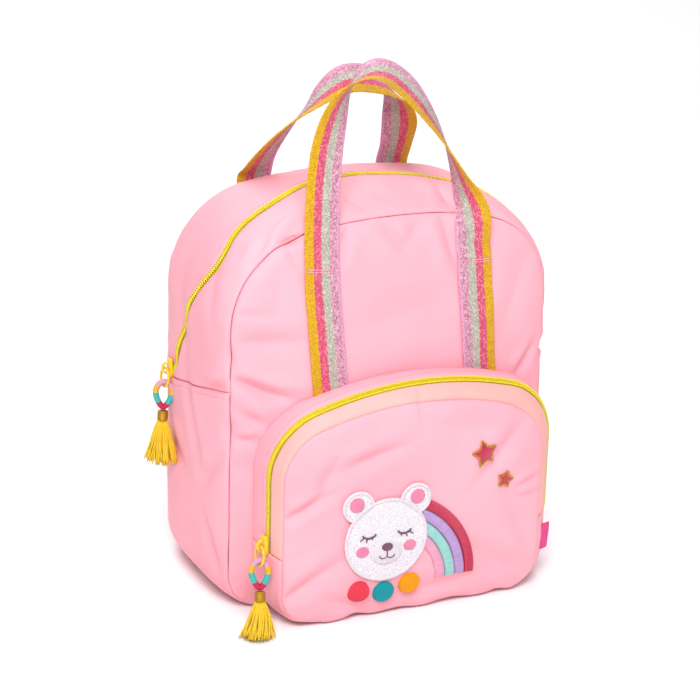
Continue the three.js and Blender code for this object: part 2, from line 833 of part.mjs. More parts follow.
function pull(name, place, out, down, hang, skirtLength) {
  const level = (degrees) => {
    const way = new THREE.Vector3(Math.cos(radians(degrees)), Math.sin(radians(degrees)), 0);
    return way.addScaledVector(hang, -way.dot(hang)).normalize();
  };
  const bridgeHole = place.clone().addScaledVector(out, sliderThick + ringWire / 2 + 1);
  const ringHalf = (ringLength - ringWire) / 2;
  const ringCentre = bridgeHole.clone().addScaledVector(hang, ringHalf);
  const loopHalf = (loopLength - loopCord) / 2;
  const linked = (ringWire + loopCord) / 2 + seamGap;
  const loopCentre = ringCentre.clone().addScaledVector(hang, ringHalf - linked + loopHalf);
  const collarTop = loopCentre.clone().addScaledVector(hang, loopLength / 2 + seamGap);
  const skirtTop = collarTop.clone().addScaledVector(hang, collarLength + seamGap);
  const ring = {
    centre: ringCentre,
    wide: level(ringTurn),
    halfWide: (ringWidth - ringWire) / 2,
    halfLong: ringHalf,
    radius: ringWire / 2,
  };
  const loop = {
    centre: loopCentre,
    wide: level(loopTurn),
    halfWide: (loopWidth - loopCord) / 2,
    halfLong: loopHalf,
    radius: loopCord / 2,
    pinch: loopPinch,
  };
  const lacquer = [0xe9c21b, 0.35, 0.8];
  add(`${name}_slider`, slider(place, out, down), ...lacquer);
  add(`${name}_pull_ring`, loopOfWire(ring, hang, 14, 5), ...lacquer);
  add(`${name}_tassel_loop`, loopOfWire(loop, hang, 16, 6), 0x58c9c0);
  add(`${name}_tassel_collar`, collar(collarTop, hang), 0xd9a92e, 0.5, 0.4);
  add(`${name}_tassel_skirt`, skirt(skirtTop, hang, skirtLength), tasselYellow);
}

// The place on the main zip at a height on the left side, and its ways out and down.
function onMainZip(height) {
  const distance = -body.along(height);
  const run = (Math.abs(distance) - seamAlong(0)) / (body.half - seamAlong(0));
  const here = gusset(distance, zipDepth(run), -zipCrown - sliderGap);
  const lowerRun = run - 0.02;
  const lower = gusset(
    -lerp(seamAlong(0), body.half, lowerRun),
    zipDepth(lowerRun),
    -zipCrown - sliderGap,
  );
  return { here, out: new THREE.Vector3(-1, 0, 0), down: lower.sub(here).setX(0).normalize() };
}

function onPocketZip(height) {
  const run = -pocketBack.along(height) / pocketBack.half;
  const here = pocketSide(run, pocketZipShare, -zipCrown - sliderGap);
  const [front, back] = [pocketSide(run, 1, 0), pocketSide(run, 0, 0)];
  const across = front.sub(back).setZ(0).normalize();
  const out = new THREE.Vector3(across.y, -across.x, 0);
  return { here, out, down: new THREE.Vector3(0, 0, -1) };
}

const mainPlace = onMainZip(mainSliderHeight);
const mainHang = new THREE.Vector3(-7, -8, -72).normalize();
pull("main", mainPlace.here, mainPlace.out, mainPlace.down, mainHang, mainSkirtLength);

const pocketPlace = onPocketZip(pocketSliderHeight);
const pocketHang = new THREE.Vector3(-7, -20, -63).normalize();
pull("pocket", pocketPlace.here, pocketPlace.out, pocketPlace.down, pocketHang, pocketSkirtLength);

// The side tab stands out of the pocket's right side.
add(
  "pocket_side_tab",
  bentBox(2, 2, 1, (u, v, w) => {
    const z = tabBottom + v * tabHeight;
    const root = pocketSide(pocketBack.along(z) / pocketBack.half, tabShare, 0);
    return new THREE.Vector3(root.x + layGap + u * tabWidth, root.y + w * tabThick + 2 * u * u, z);
  }),
  0xe8327e,
);

// Shoulder straps: padded above, webbing through a plain slide below.

function strapMiddle(side, share) {
  const x = side * lerp(strapTopSide, strapEndSide, share ** 1.4);
  const z = lerp(strapTopHeight, strapEndHeight, share);
  const bow = strapBow * Math.sin(Math.PI * share ** 0.8) ** 0.9;
  return new THREE.Vector3(x, backFace(x, z) + layGap + bow + 2.5 * share, z);
}

function shoulderStrap(side) {
  return bentBox(3, 14, 1, (u, v, w) => {
    const middle = strapMiddle(side, v);
    const ahead = strapMiddle(side, Math.min(1, v + 0.01));
    const behind = strapMiddle(side, Math.max(0, v - 0.01));
    const along = ahead.sub(behind).setY(0).normalize();
    const end = Math.min(1, v / 0.04, (1 - v) / 0.06);
    const width = strapWidth * lerp(0.72, 1, smooth(end));
    const pad = strapThick * lerp(0.5, 1, smooth(end)) * lerp(0.75, 1, 1 - Math.abs(2 * u - 1));
    middle.x += along.z * (u - 0.5) * width;
    middle.z -= along.x * (u - 0.5) * width;
    middle.y += w * pad;
    return middle;
  });
}

const bar = buckleBar;
const slot = (buckleHeight - 3 * bar) / 2;

// The way down the back from the strap's end to the bag's bottom corner.
function tailFrame(side) {
  const from = new THREE.Vector3(side * strapEndSide, 0, strapEndHeight);
  const to = new THREE.Vector3(side * tailSide, 0, tailHeight);
  const down = to.clone().sub(from);
  const length = down.length();
  down.normalize();
  return { from, down, length, across: new THREE.Vector3(-down.z, 0, down.x) };
}

const buckleLift = layGap + tailThick + seamGap * 2;

function buckle(side) {
  const { from, down, across } = tailFrame(side);
  const outline = new THREE.Shape();
  const half = buckleWidth / 2;
  const cut = 3;
  outline.moveTo(-half + cut, 0);
  outline.lineTo(half - cut, 0);
  outline.lineTo(half, cut);
  outline.lineTo(half, buckleHeight - cut);
  outline.lineTo(half - cut, buckleHeight);
  outline.lineTo(-half + cut, buckleHeight);
  outline.lineTo(-half, buckleHeight - cut);
  outline.lineTo(-half, cut);
  outline.closePath();
  for (const low of [bar, 2 * bar + slot]) {
    const hole = new THREE.Path();
    hole.moveTo(-half + bar, low);
    hole.lineTo(half - bar, low);
    hole.lineTo(half - bar, low + slot);
    hole.lineTo(-half + bar, low + slot);
    hole.closePath();
    outline.holes.push(hole);
  }
  const geometry = new THREE.ExtrudeGeometry(outline, { depth: buckleThick, bevelEnabled: false });
  const place = from.clone().addScaledVector(down, layGap);
  place.y = backFace(place.x, place.z) + buckleLift;
  const turn = new THREE.Matrix4().makeBasis(across, down, across.clone().cross(down));
  turn.setPosition(place);
  geometry.applyMatrix4(turn);
  return facingOut(bare(geometry));
}

// The tail comes up from the corner, over the slide's middle bar, and back under its top bar.
function tail(side) {
  const { from, down, length, across } = tailFrame(side);
  const overBar = buckleThick + buckleLift + seamGap * 2;
  const rows = [
    { along: layGap + bar + slot * 0.5, lift: 0 },
    { along: layGap + bar + slot * 0.72, lift: overBar * 0.8 },
    { along: layGap + bar + slot + bar / 2, lift: overBar },
    { along: layGap + 2 * bar + slot * 1.28, lift: overBar * 0.8 },
    { along: layGap + 2 * bar + slot * 1.5, lift: 0 },
    { along: buckleHeight + 4, lift: 0 },
    { along: lerp(buckleHeight, length, 0.5), lift: 0 },
    { along: length, lift: 0 },
  ];
  const runs = rows.length - 1;
  return bentBox(1, runs, 1, (u, v, w) => {
    const row = rows[Math.round(v * runs)];
    const point = from.clone().addScaledVector(down, row.along);
    point.addScaledVector(across, (u - 0.5) * tailWebbing);
    point.y = backFace(point.x, point.z) + layGap + row.lift + w * tailThick;
    return point;
  });
}

for (const [label, side] of [["left", -1], ["right", 1]]) {
  add(`shoulder_strap_${label}`, shoulderStrap(side), clothPink);
  add(`strap_slide_${label}`, buckle(side), 0xe58aa6, 0.4);
  add(`strap_tail_${label}`, tail(side), 0xe893ab, 0.8);
}

// Patch: a bear's head with arcs of a rainbow behind it, felt discs and two stars.

// A flat outline cut into small faces and laid on the pocket's crown.
function laidOnPocket(outlines, thick) {
  const flat = joined(
    outlines.map(
      (outline) =>
        new THREE.ExtrudeGeometry(outline, { depth: 1, bevelEnabled: false, curveSegments: 8 }),
    ),
  );
  return bend(flat, thick);
}

function bend(flat, thick) {
  const fine = bare(new TessellateModifier(patchFacet, 8).modify(flat.toNonIndexed()));
  const position = fine.getAttribute("position");
  for (let i = 0; i < position.count; i += 1) {
    const [x, z, w] = [position.getX(i), position.getY(i), position.getZ(i)];
    position.setXYZ(i, x, pocketCrown(x, z) - patchGap - w * thick, z);
  }
  return facingOut(fine);
}

function disc(x, z, radius) {
  const outline = new THREE.Shape();
  outline.absarc(x, z, radius, 0, 2 * Math.PI);
  return outline;
}

function headOutlines(grow) {
  const head = disc(headAcross, headHeight, headRadius + grow);
  const ears = [-1, 1].map((side) =>
    disc(headAcross + side * earSpread, headHeight + earRise, earRadius + grow),
  );
  return [head, ...ears];
}

add("patch_head", laidOnPocket(headOutlines(0), patchThick), 0xf7eef4);

function band(number) {
  const inner = bandInnerRadius + number * bandWidth + seamGap / 2;
  const outer = inner + bandWidth - seamGap;
  const outline = new THREE.Shape();
  outline.absarc(headAcross, bandCentreHeight, outer, 0, radians(bandTurn));
  outline.absarc(headAcross, bandCentreHeight, inner, radians(bandTurn), 0, true);
  outline.closePath();
  const whole = solidOf(
    new THREE.ExtrudeGeometry(outline, { depth: 1, bevelEnabled: false, curveSegments: 7 }),
  );
  const cutter = solidOf(
    joined(
      headOutlines(layGap).map((shape) =>
        new THREE.ExtrudeGeometry(shape, { depth: 3, bevelEnabled: false, curveSegments: 8 })
          .translate(0, 0, -1),
      ),
    ),
  );
  return bend(geometryOf(whole.subtract(cutter)), patchThick);
}

const bandColors = [0xf1a7c4, 0x9fdcd8, 0xc3a2da, 0xd01f4e];
for (let number = 0; number < bandCount; number += 1) {
  add(`patch_band_${number + 1}`, band(number), bandColors[number]);
}

const discs = [
  { name: "coral", across: -19, drop: 36.5, color: 0xf0566a },
  { name: "teal", across: 0, drop: 40, color: 0x1fa7a5 },
  { name: "yellow", across: 19, drop: 36.5, color: 0xf4b21b },
];
for (const { name, across, drop, color } of discs) {
  const outline = disc(headAcross + across, headHeight - drop, discRadius);
  add(`felt_disc_${name}`, laidOnPocket([outline], discThick), color, 0.95);
}

function starOutline(x, z, radius, turn) {
  const outline = new THREE.Shape();
  for (let k = 0; k < 10; k += 1) {
    const reach = k % 2 ? radius * 0.55 : radius;
    const angle = radians(turn) + (k * Math.PI) / 5;
    const [px, pz] = [x + reach * Math.sin(angle), z + reach * Math.cos(angle)];
    if (k) outline.lineTo(px, pz);
    else outline.moveTo(px, pz);
  }
  outline.closePath();
  return outline;
}

const stars = [
  { name: "large", across: largeStarAcross, height: largeStarHeight, radius: largeStarRadius, turn: -12 },
  { name: "small", across: smallStarAcross, height: smallStarHeight, radius: smallStarRadius, turn: 16 },
];
for (const { name, across, height, radius, turn } of stars) {
  add(`star_${name}`, laidOnPocket([starOutline(across, height, radius, turn)], starThick), 0xd3174c);
}

export default bag;
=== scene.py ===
import math
import random

import bmesh
import bpy
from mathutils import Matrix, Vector, noise
from mathutils.bvhtree import BVHTree


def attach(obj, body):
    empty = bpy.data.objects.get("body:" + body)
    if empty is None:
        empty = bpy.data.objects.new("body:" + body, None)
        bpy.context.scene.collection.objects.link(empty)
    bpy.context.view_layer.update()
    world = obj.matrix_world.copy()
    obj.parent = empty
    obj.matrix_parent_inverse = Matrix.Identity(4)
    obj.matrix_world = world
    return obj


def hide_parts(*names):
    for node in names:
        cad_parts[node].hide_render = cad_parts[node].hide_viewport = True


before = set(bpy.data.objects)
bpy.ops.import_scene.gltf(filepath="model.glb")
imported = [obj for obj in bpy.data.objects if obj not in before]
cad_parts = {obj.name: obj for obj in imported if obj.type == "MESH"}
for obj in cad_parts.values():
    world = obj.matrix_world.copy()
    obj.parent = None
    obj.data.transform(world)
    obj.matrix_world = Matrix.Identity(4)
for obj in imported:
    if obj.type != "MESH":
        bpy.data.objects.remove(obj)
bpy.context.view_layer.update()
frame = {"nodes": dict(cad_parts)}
print("solids loaded")

# Every shape below is worked out in millimetres and finished in metres.
metres = 0.001


# The camera stands where the photographer's did, a little left of the bag and above it.
cameraPlace = {
    "left": 25.022,
    "above": 21.135,
    "roll": 1.671,
    "stand": (-0.70018, -1.50005, 0.78998),
    "lens": 130.5,
    "shift": (-0.0062, 0.0102),
}


def setCamera(place):
    left, above, roll = (math.radians(place[key]) for key in ("left", "above", "roll"))
    back = Vector((-math.sin(left) * math.cos(above), -math.cos(left) * math.cos(above), math.sin(above)))
    right = (-back).cross(Vector((0, 0, 1))).normalized()
    up = right.cross(-back)
    sideways = right * math.cos(roll) + up * math.sin(roll)
    upright = up * math.cos(roll) - right * math.sin(roll)
    data = bpy.data.cameras.new("camera")
    data.lens, data.sensor_width = place["lens"], 36
    data.shift_x, data.shift_y = place["shift"]
    camera = bpy.data.objects.new("camera", data)
    for row in range(3):
        camera.matrix_world[row][0] = sideways[row]
        camera.matrix_world[row][1] = upright[row]
        camera.matrix_world[row][2] = back[row]
        camera.matrix_world[row][3] = place["stand"][row]
    bpy.context.scene.collection.objects.link(camera)
    bpy.context.scene.camera = camera


setCamera(cameraPlace)
print("camera set")


def mix(a, b, share):
    return a + (b - a) * share


def clamp(value, low=0.0, high=1.0):
    return min(high, max(low, value))


def ease(share):
    share = clamp(share)
    return share * share * (3 - 2 * share)


# Materials

def hexColour(code):
    parts = [int(code[k : k + 2], 16) / 255 for k in (1, 3, 5)]
    linear = [c / 12.92 if c <= 0.04045 else ((c + 0.055) / 1.055) ** 2.4 for c in parts]
    return (*linear, 1.0)


def addNode(tree, kind, inputs=None, **settings):
    node = tree.nodes.new(kind)
    for key, value in settings.items():
        setattr(node, key, value)
    for key, value in (inputs or {}).items():
        if isinstance(value, bpy.types.NodeSocket):
            tree.links.new(value, node.inputs[key])
        else:
            node.inputs[key].default_value = value
    return node


def newMaterial(name, shaderValues):
    material = bpy.data.materials.new(name)
    material.use_nodes = True
    tree = material.node_tree
    shader = tree.nodes["Principled BSDF"]
    for key, value in shaderValues.items():
        shader.inputs[key].default_value = value
    return material, tree, shader


# A wave texture repeats every 0.314 of its coordinate at scale 1.
def waveScale(period):
    return math.pi / 10 / period


# The colour between two hexes, picked by a factor socket.
def blendHex(tree, factor, low, high):
    ramp = addNode(tree, "ShaderNodeMix", {0: factor, 6: hexColour(low), 7: hexColour(high)}, data_type="RGBA")
    return ramp.outputs[2]


# A colour made darker by a factor socket.
def shadeBy(tree, colour, factor):
    made = addNode(
        tree, "ShaderNodeMix", {0: 1.0, 6: colour, 7: factor}, data_type="RGBA", blend_type="MULTIPLY"
    )
    return made.outputs[2]


# Bands of flat colour, each from its start up to the next.
def bandedRamp(tree, factor, bands):
    node = addNode(tree, "ShaderNodeValToRGB", {0: factor})
    ramp = node.color_ramp
    ramp.interpolation = "CONSTANT"
    while len(ramp.elements) < len(bands):
        ramp.elements.new(0.98)
    for element, (code, start) in zip(ramp.elements, bands):
        element.position, element.color = start, hexColour(code)
    return node.outputs[0]


def connect(tree, shader, sockets):
    for key, socket in sockets.items():
        tree.links.new(socket, shader.inputs[key])


def plainWeave(name, settings):
    material, tree, shader = newMaterial(name, settings["shader"])
    flat = addNode(tree, "ShaderNodeUVMap", uv_map="flat").outputs[0]
    place = addNode(tree, "ShaderNodeTexCoord").outputs["Object"]
    scale = waveScale(settings["thread"])
    warp = addNode(tree, "ShaderNodeTexWave", {"Vector": flat, "Scale": scale}, bands_direction="X")
    weft = addNode(tree, "ShaderNodeTexWave", {"Vector": flat, "Scale": scale}, bands_direction="Y")
    both = addNode(
        tree, "ShaderNodeMath", {0: warp.outputs["Fac"], 1: weft.outputs["Fac"]}, operation="MULTIPLY"
    )
    patches = addNode(
        tree, "ShaderNodeTexNoise", {"Vector": place, "Scale": 1 / settings["patch"], "Detail": 3.0}
    ).outputs["Fac"]
    slubs = addNode(tree, "ShaderNodeTexNoise", {"Vector": flat, "Scale": 0.7, "Detail": 2.0}).outputs["Fac"]
    tone = addNode(
        tree, "ShaderNodeMapRange", {"Value": patches, "From Min": 0.32, "From Max": 0.68}
    ).outputs[0]
    colour = blendHex(tree, tone, settings["deep"], settings["colour"])
    # The colour is darkened in the hollows between crossing threads: painted shade.
    threads = addNode(
        tree,
        "ShaderNodeMapRange",
        {"Value": both.outputs[0], "To Min": settings["shade"], "To Max": 1.0},
    ).outputs[0]
    paintedReliefShading = shadeBy(tree, colour, threads)
    height = addNode(tree, "ShaderNodeMath", {0: both.outputs[0], 1: slubs}, operation="ADD").outputs[0]
    bump = addNode(
        tree, "ShaderNodeBump", {"Height": height, "Strength": settings["relief"], "Distance": 0.0002}
    ).outputs[0]
    rough = addNode(
        tree, "ShaderNodeMapRange", {"Value": slubs, "To Min": 0.5, "To Max": 0.72}
    ).outputs[0]
    connect(tree, shader, {"Base Color": paintedReliefShading, "Normal": bump, "Roughness": rough})
    return material


# Polyester plain weave, dyed: soft and matte, with a faint sheen at grazing angles. Its
# threads are 0.35 mm apart and drawn at 0.8 mm, so that they show at all.
pinkPolyester = plainWeave("pinkPolyesterWeave", {
    "colour": "#f8aebb", "deep": "#f4a4b2", "thread": 0.8, "shade": 0.965, "relief": 0.25, "patch": 0.09,
    "shader": {"Sheen Weight": 0.12, "Sheen Roughness": 0.45, "Sheen Tint": hexColour("#ffd9dc"),
               "Specular IOR Level": 0.25},
})
# The same weave dyed peach, a shade warmer beside the pink.
peachPolyester = plainWeave("peachPolyesterWeave", {
    "colour": "#f8b3ae", "deep": "#f5aaa4", "thread": 0.8, "shade": 0.965, "relief": 0.25, "patch": 0.09,
    "shader": {"Sheen Weight": 0.12, "Sheen Roughness": 0.45, "Specular IOR Level": 0.25},
})
# Knitted zip tape, lemon: matte, darker than the coil that stands on it.
zipTape = plainWeave("lemonZipTape", {
    "colour": "#dacb2a", "deep": "#c0b217", "thread": 0.7, "shade": 0.8, "relief": 0.6, "patch": 0.05,
    "shader": {"Specular IOR Level": 0.25},
})
# Woven polyester webbing for the strap tails: coarser threads, a small shine on each rib.
plainWebbing = plainWeave("pinkWovenWebbing", {
    "colour": "#f2a0b6", "deep": "#e893ab", "thread": 1.1, "shade": 0.82, "relief": 0.9, "patch": 0.05,
    "shader": {"Specular IOR Level": 0.4},
})
# Grosgrain tape, folded: hot pink, with fine cross ribs.
tabTape = plainWeave("hotPinkGrosgrain", {
    "colour": "#ee4a92", "deep": "#e03a84", "thread": 0.9, "shade": 0.85, "relief": 0.8, "patch": 0.05,
    "shader": {"Specular IOR Level": 0.4},
})


def smoothPlastic(name, settings):
    material, tree, shader = newMaterial(name, settings["shader"])
    place = addNode(tree, "ShaderNodeTexCoord").outputs["Object"]
    cloud = addNode(
        tree, "ShaderNodeTexNoise", {"Vector": place, "Scale": 1000 / settings["grain"], "Detail": 2.0}
    ).outputs["Fac"]
    colour = blendHex(tree, cloud, settings["deep"], settings["colour"])
    rough = addNode(
        tree,
        "ShaderNodeMapRange",
        {"Value": cloud, "To Min": settings["rough"][0], "To Max": settings["rough"][1]},
    ).outputs[0]
    bump = addNode(tree, "ShaderNodeBump", {"Height": cloud, "Strength": 0.15, "Distance": 0.00008}).outputs[0]
    connect(tree, shader, {"Base Color": colour, "Roughness": rough, "Normal": bump})
    return material


# Nylon monofilament, coiled: half gloss, lets a little light through.
zipCoil = smoothPlastic("lemonNylonCoil", {
    "colour": "#f3e233", "deep": "#e7d724", "grain": 2, "rough": (0.3, 0.45),
    "shader": {"IOR": 1.53, "Subsurface Weight": 0.1, "Subsurface Radius": (0.001, 0.001, 0.0005)},
})
# Zinc die casting under yellow enamel: glossy paint, with a clear coat.
yellowEnamel = smoothPlastic("yellowEnamelledZinc", {
    "colour": "#f3c713", "deep": "#e5b50c", "grain": 3, "rough": (0.22, 0.36),
    "shader": {"Coat Weight": 0.5, "Coat Roughness": 0.12},
})
# Moulded acetal: smooth, slightly waxy.
pinkAcetal = smoothPlastic("pinkMouldedAcetal", {
    "colour": "#f093ad", "deep": "#e887a3", "grain": 4, "rough": (0.35, 0.5),
    "shader": {"IOR": 1.48, "Subsurface Weight": 0.08, "Subsurface Radius": (0.002, 0.001, 0.001)},
})


# Ribbed webbing: mustard polyester, then hot pink, silver and lilac stripes with lurex in
# them, whose flat metal threads glint between dark ones. The glint is painted: lighter flecks
# with less roughness. Each stripe gives where it starts across the width, its colour, and the
# colours of its flecks of painted glint and of its dark flecks.
stripes = {
    "width": 25,
    "rows": [
        (0.0, "#d8a400", "#e3b006", "#c89400"),
        (0.26, "#d95272", "#ea8199", "#bf4763"),
        (0.49, "#b7b2a3", "#cfcbbe", "#a19f93"),
        (0.72, "#cf92aa", "#e3b4c5", "#b0708a"),
        (0.93, "#dd9cbd", "#e4a8c5", "#d38db0"),
    ],
    "rib": 0.95,
    "warp": 0.8,
    "brightAbove": 0.78,
    "darkAbove": 0.7,
}


def stripedWebbing(settings):
    material, tree, shader = newMaterial(
        "stripedLurexWebbing", {"Specular IOR Level": 0.35, "Sheen Weight": 0.1}
    )
    flat = addNode(tree, "ShaderNodeUVMap", uv_map="flat").outputs[0]
    axes = addNode(tree, "ShaderNodeSeparateXYZ", {0: flat})
    ribs = addNode(
        tree, "ShaderNodeTexWave", {"Vector": flat, "Scale": waveScale(settings["rib"])}, bands_direction="X"
    ).outputs["Fac"]
    cells = addNode(
        tree, "ShaderNodeMapping", {"Vector": flat, "Scale": (1 / settings["rib"], 1 / settings["warp"], 1)}
    )
    flecks = addNode(
        tree, "ShaderNodeTexVoronoi", {"Vector": cells.outputs[0], "Scale": 1.0, "Randomness": 0.15}
    )
    pick = addNode(tree, "ShaderNodeSeparateColor", {0: flecks.outputs["Color"]})
    across = addNode(
        tree, "ShaderNodeMath", {0: axes.outputs[1], 1: settings["width"]}, operation="DIVIDE"
    ).outputs[0]
    edge = addNode(
        tree, "ShaderNodeMath", {0: pick.outputs[2], 1: 0.03, 2: across}, operation="MULTIPLY_ADD"
    ).outputs[0]
    layers = [
        bandedRamp(tree, edge, [(row[number], row[0]) for row in settings["rows"]]) for number in (1, 2, 3)
    ]
    # Lighter flecks paint the lurex's glint into the colour; dark flecks are dark threads.
    paintedGlint, dark = (
        addNode(tree, "ShaderNodeMath", {0: pick.outputs[k], 1: limit}, operation="GREATER_THAN").outputs[0]
        for k, limit in ((0, settings["brightAbove"]), (1, settings["darkAbove"]))
    )
    shaded = addNode(tree, "ShaderNodeMix", {0: dark, 6: layers[0], 7: layers[2]}, data_type="RGBA").outputs[2]
    withPaintedGlint = addNode(tree, "ShaderNodeMix", {0: paintedGlint, 6: shaded, 7: layers[1]}, data_type="RGBA").outputs[2]
    # Rib hollows are darkened and rib tops lightened a little in the colour: painted shade and painted
    # highlight.
    depth = addNode(tree, "ShaderNodeMapRange", {"Value": ribs, "To Min": 0.78, "To Max": 1.04}).outputs[0]
    paintedReliefShading = shadeBy(tree, withPaintedGlint, depth)
    uneven = addNode(
        tree, "ShaderNodeMath", {0: pick.outputs[2], 1: 0.4, 2: ribs}, operation="MULTIPLY_ADD"
    ).outputs[0]
    bump = addNode(tree, "ShaderNodeBump", {"Height": uneven, "Strength": 0.7, "Distance": 0.0003}).outputs[0]
    rough = addNode(tree, "ShaderNodeMapRange", {"Value": paintedGlint, "To Min": 0.65, "To Max": 0.4}).outputs[0]
    connect(tree, shader, {"Base Color": paintedReliefShading, "Roughness": rough, "Normal": bump})
    return material


lurexWebbing = stripedWebbing(stripes)


# Thread laid side by side. Stitches lie across the run of the piece, so their ridges
# repeat along it, and each is a shade lighter or deeper than the next.
def laidThread(name, settings):
    material, tree, shader = newMaterial(name, settings["shader"])
    flat = addNode(tree, "ShaderNodeUVMap", uv_map="flat").outputs[0]
    slant = addNode(tree, "ShaderNodeMapping", {"Vector": flat, "Rotation": (0, 0, settings.get("slant", 0))})
    ridges = addNode(
        tree,
        "ShaderNodeTexWave",
        {"Vector": slant.outputs[0], "Scale": waveScale(settings["thread"]), "Distortion": 0.6, "Detail": 1.0},
        bands_direction="X",
    ).outputs["Fac"]
    long = addNode(
        tree, "ShaderNodeMapping", {"Vector": slant.outputs[0], "Scale": (1 / settings["thread"], 0.12, 1)}
    )
    each = addNode(
        tree, "ShaderNodeTexNoise", {"Vector": long.outputs[0], "Scale": 1.0, "Detail": 1.0}
    ).outputs["Fac"]
    tone = addNode(tree, "ShaderNodeMapRange", {"Value": each, "From Min": 0.3, "From Max": 0.7}).outputs[0]
    if "bands" in settings:
        axes = addNode(tree, "ShaderNodeSeparateXYZ", {0: flat})
        share = addNode(
            tree, "ShaderNodeMath", {0: axes.outputs[0], 1: settings["length"]}, operation="DIVIDE"
        ).outputs[0]
        colour = bandedRamp(tree, share, settings["bands"])
    else:
        colour = blendHex(tree, tone, settings["deep"], settings["colour"])
    # The colour is darkened in the grooves between stitches: painted shade.
    groove = addNode(
        tree, "ShaderNodeMapRange", {"Value": ridges, "To Min": settings["shade"], "To Max": 1.0}
    ).outputs[0]
    wound = shadeBy(tree, colour, groove)
    bump = addNode(
        tree, "ShaderNodeBump", {"Height": ridges, "Strength": settings["relief"], "Distance": 0.0003}
    ).outputs[0]
    connect(tree, shader, {"Base Color": wound, "Normal": bump})
    return material


rayon = {"Roughness": 0.38, "Specular IOR Level": 0.6, "Sheen Weight": 0.3, "Sheen Roughness": 0.3}


# Rayon embroidery thread, 0.4 mm and drawn at 0.7 mm: a silky light runs over the stitches.
def rayonStitch(name, colour, deep):
    return laidThread(name, {
        "colour": colour, "deep": deep, "thread": 0.7, "shade": 0.8, "relief": 0.7, "shader": rayon,
    })


bandThreads = [
    rayonStitch("roseSatinStitch", "#f6b3cc", "#e994b6"),
    rayonStitch("aquaSatinStitch", "#a9e2dd", "#86cdc9"),
    rayonStitch("lilacSatinStitch", "#c9a8de", "#b18bcc"),
    rayonStitch("crimsonSatinStitch", "#d81f52", "#b70f3e"),
]
whiteStitch = rayonStitch("whiteSatinStitch", "#f3ecf1", "#e2d6e0")
plumStitch = rayonStitch("plumSatinStitch", "#7b4a6b", "#643757")
blushStitch = rayonStitch("blushSatinStitch", "#f58fb0", "#e67a9f")
paleStitch = rayonStitch("palePinkSewingThread", "#fbb6c2", "#f3a3b2")

# Metal-wrapped thread: gold, with a broken glitter along its windings.
goldThread = laidThread("goldMetalThread", {
    "colour": "#e2b23e", "deep": "#b98722", "thread": 0.7, "shade": 0.7, "relief": 0.9,
    "shader": {"Metallic": 0.75, "Roughness": 0.35},
})
# Polyester sewing thread wound round a cord, in bands of four colours.
woundCord = laidThread("woundPolyesterThread", {
    "bands": [("#e6a6c8", 0.0), ("#f2bb1c", 0.12), ("#3cc1bb", 0.24), ("#cf1f4d", 0.4),
              ("#3cc1bb", 0.6), ("#f2bb1c", 0.76), ("#e6a6c8", 0.88)],
    "length": 44, "thread": 0.8, "shade": 0.72, "relief": 0.8,
    "shader": {"Roughness": 0.5, "Specular IOR Level": 0.5},
})
# Twisted viscose yarn, golden yellow: a soft shine that turns with the twist.
tasselYarn = laidThread("mustardViscoseYarn", {
    "colour": "#f2cb12", "deep": "#ebbf08", "thread": 1.3, "shade": 0.82, "relief": 0.6, "slant": 0.7,
    "shader": {"Roughness": 0.5, "Sheen Weight": 0.1, "Sheen Roughness": 0.4},
})


# Wool felt, pressed: no shine, a nap of short fibres that catches light at its rim.
def pressedFelt(name, colour, deep):
    material, tree, shader = newMaterial(
        name, {"Roughness": 0.95, "Specular IOR Level": 0.15, "Sheen Weight": 0.08, "Sheen Roughness": 0.6}
    )
    place = addNode(tree, "ShaderNodeTexCoord").outputs["Object"]
    fibres = addNode(
        tree, "ShaderNodeTexNoise", {"Vector": place, "Scale": 900.0, "Detail": 4.0, "Distortion": 1.5}
    ).outputs["Fac"]
    tone = addNode(tree, "ShaderNodeMapRange", {"Value": fibres, "From Min": 0.3, "From Max": 0.7}).outputs[0]
    colourOut = blendHex(tree, tone, deep, colour)
    bump = addNode(tree, "ShaderNodeBump", {"Height": fibres, "Strength": 0.6, "Distance": 0.0004}).outputs[0]
    connect(tree, shader, {"Base Color": colourOut, "Normal": bump})
    return material


felts = {
    "coral": pressedFelt("coralPressedFelt", "#de3f53", "#cf3044"),
    "teal": pressedFelt("tealPressedFelt", "#0697a2", "#04868f"),
    "yellow": pressedFelt("yellowPressedFelt", "#ea9c02", "#dc8c00"),
}


# White fabric under a layer of glitter grit: pearly, with grains that flash as they turn.
# The grit is 0.2 mm and drawn at 0.7 mm, so that it shows.
def glitterFabric():
    material, tree, shader = newMaterial("pearlGlitterFabric", {"Specular IOR Level": 0.6})
    place = addNode(tree, "ShaderNodeTexCoord").outputs["Object"]
    grit = addNode(tree, "ShaderNodeTexVoronoi", {"Vector": place, "Scale": 1000 / 0.7})
    pick = addNode(tree, "ShaderNodeSeparateColor", {0: grit.outputs["Color"]})
    flash = addNode(tree, "ShaderNodeMath", {0: pick.outputs[0], 1: 0.72}, operation="GREATER_THAN").outputs[0]
    ramp = addNode(tree, "ShaderNodeValToRGB", {0: pick.outputs[1]})
    for stop, (code, position) in zip(
        ramp.color_ramp.elements, [("#d8cbd4", 0.0), ("#ebe2e7", 1.0)]
    ):
        stop.position, stop.color = position, hexColour(code)
    for code, position in [("#dccfda", 0.18), ("#e6dce3", 0.4), ("#d2dee2", 0.7)]:
        stop = ramp.color_ramp.elements.new(position)
        stop.color = hexColour(code)
    bump = addNode(
        tree, "ShaderNodeBump", {"Height": pick.outputs[2], "Strength": 0.7, "Distance": 0.0004}
    ).outputs[0]
    rough = addNode(tree, "ShaderNodeMapRange", {"Value": flash, "To Min": 0.6, "To Max": 0.15}).outputs[0]
    metal = addNode(tree, "ShaderNodeMath", {0: flash, 1: 0.35}, operation="MULTIPLY").outputs[0]
    looks = {"Base Color": ramp.outputs[0], "Roughness": rough, "Metallic": metal, "Normal": bump}
    connect(tree, shader, looks)
    return material


pearlGlitter = glitterFabric()
print("materials made")


# Making and finishing pieces

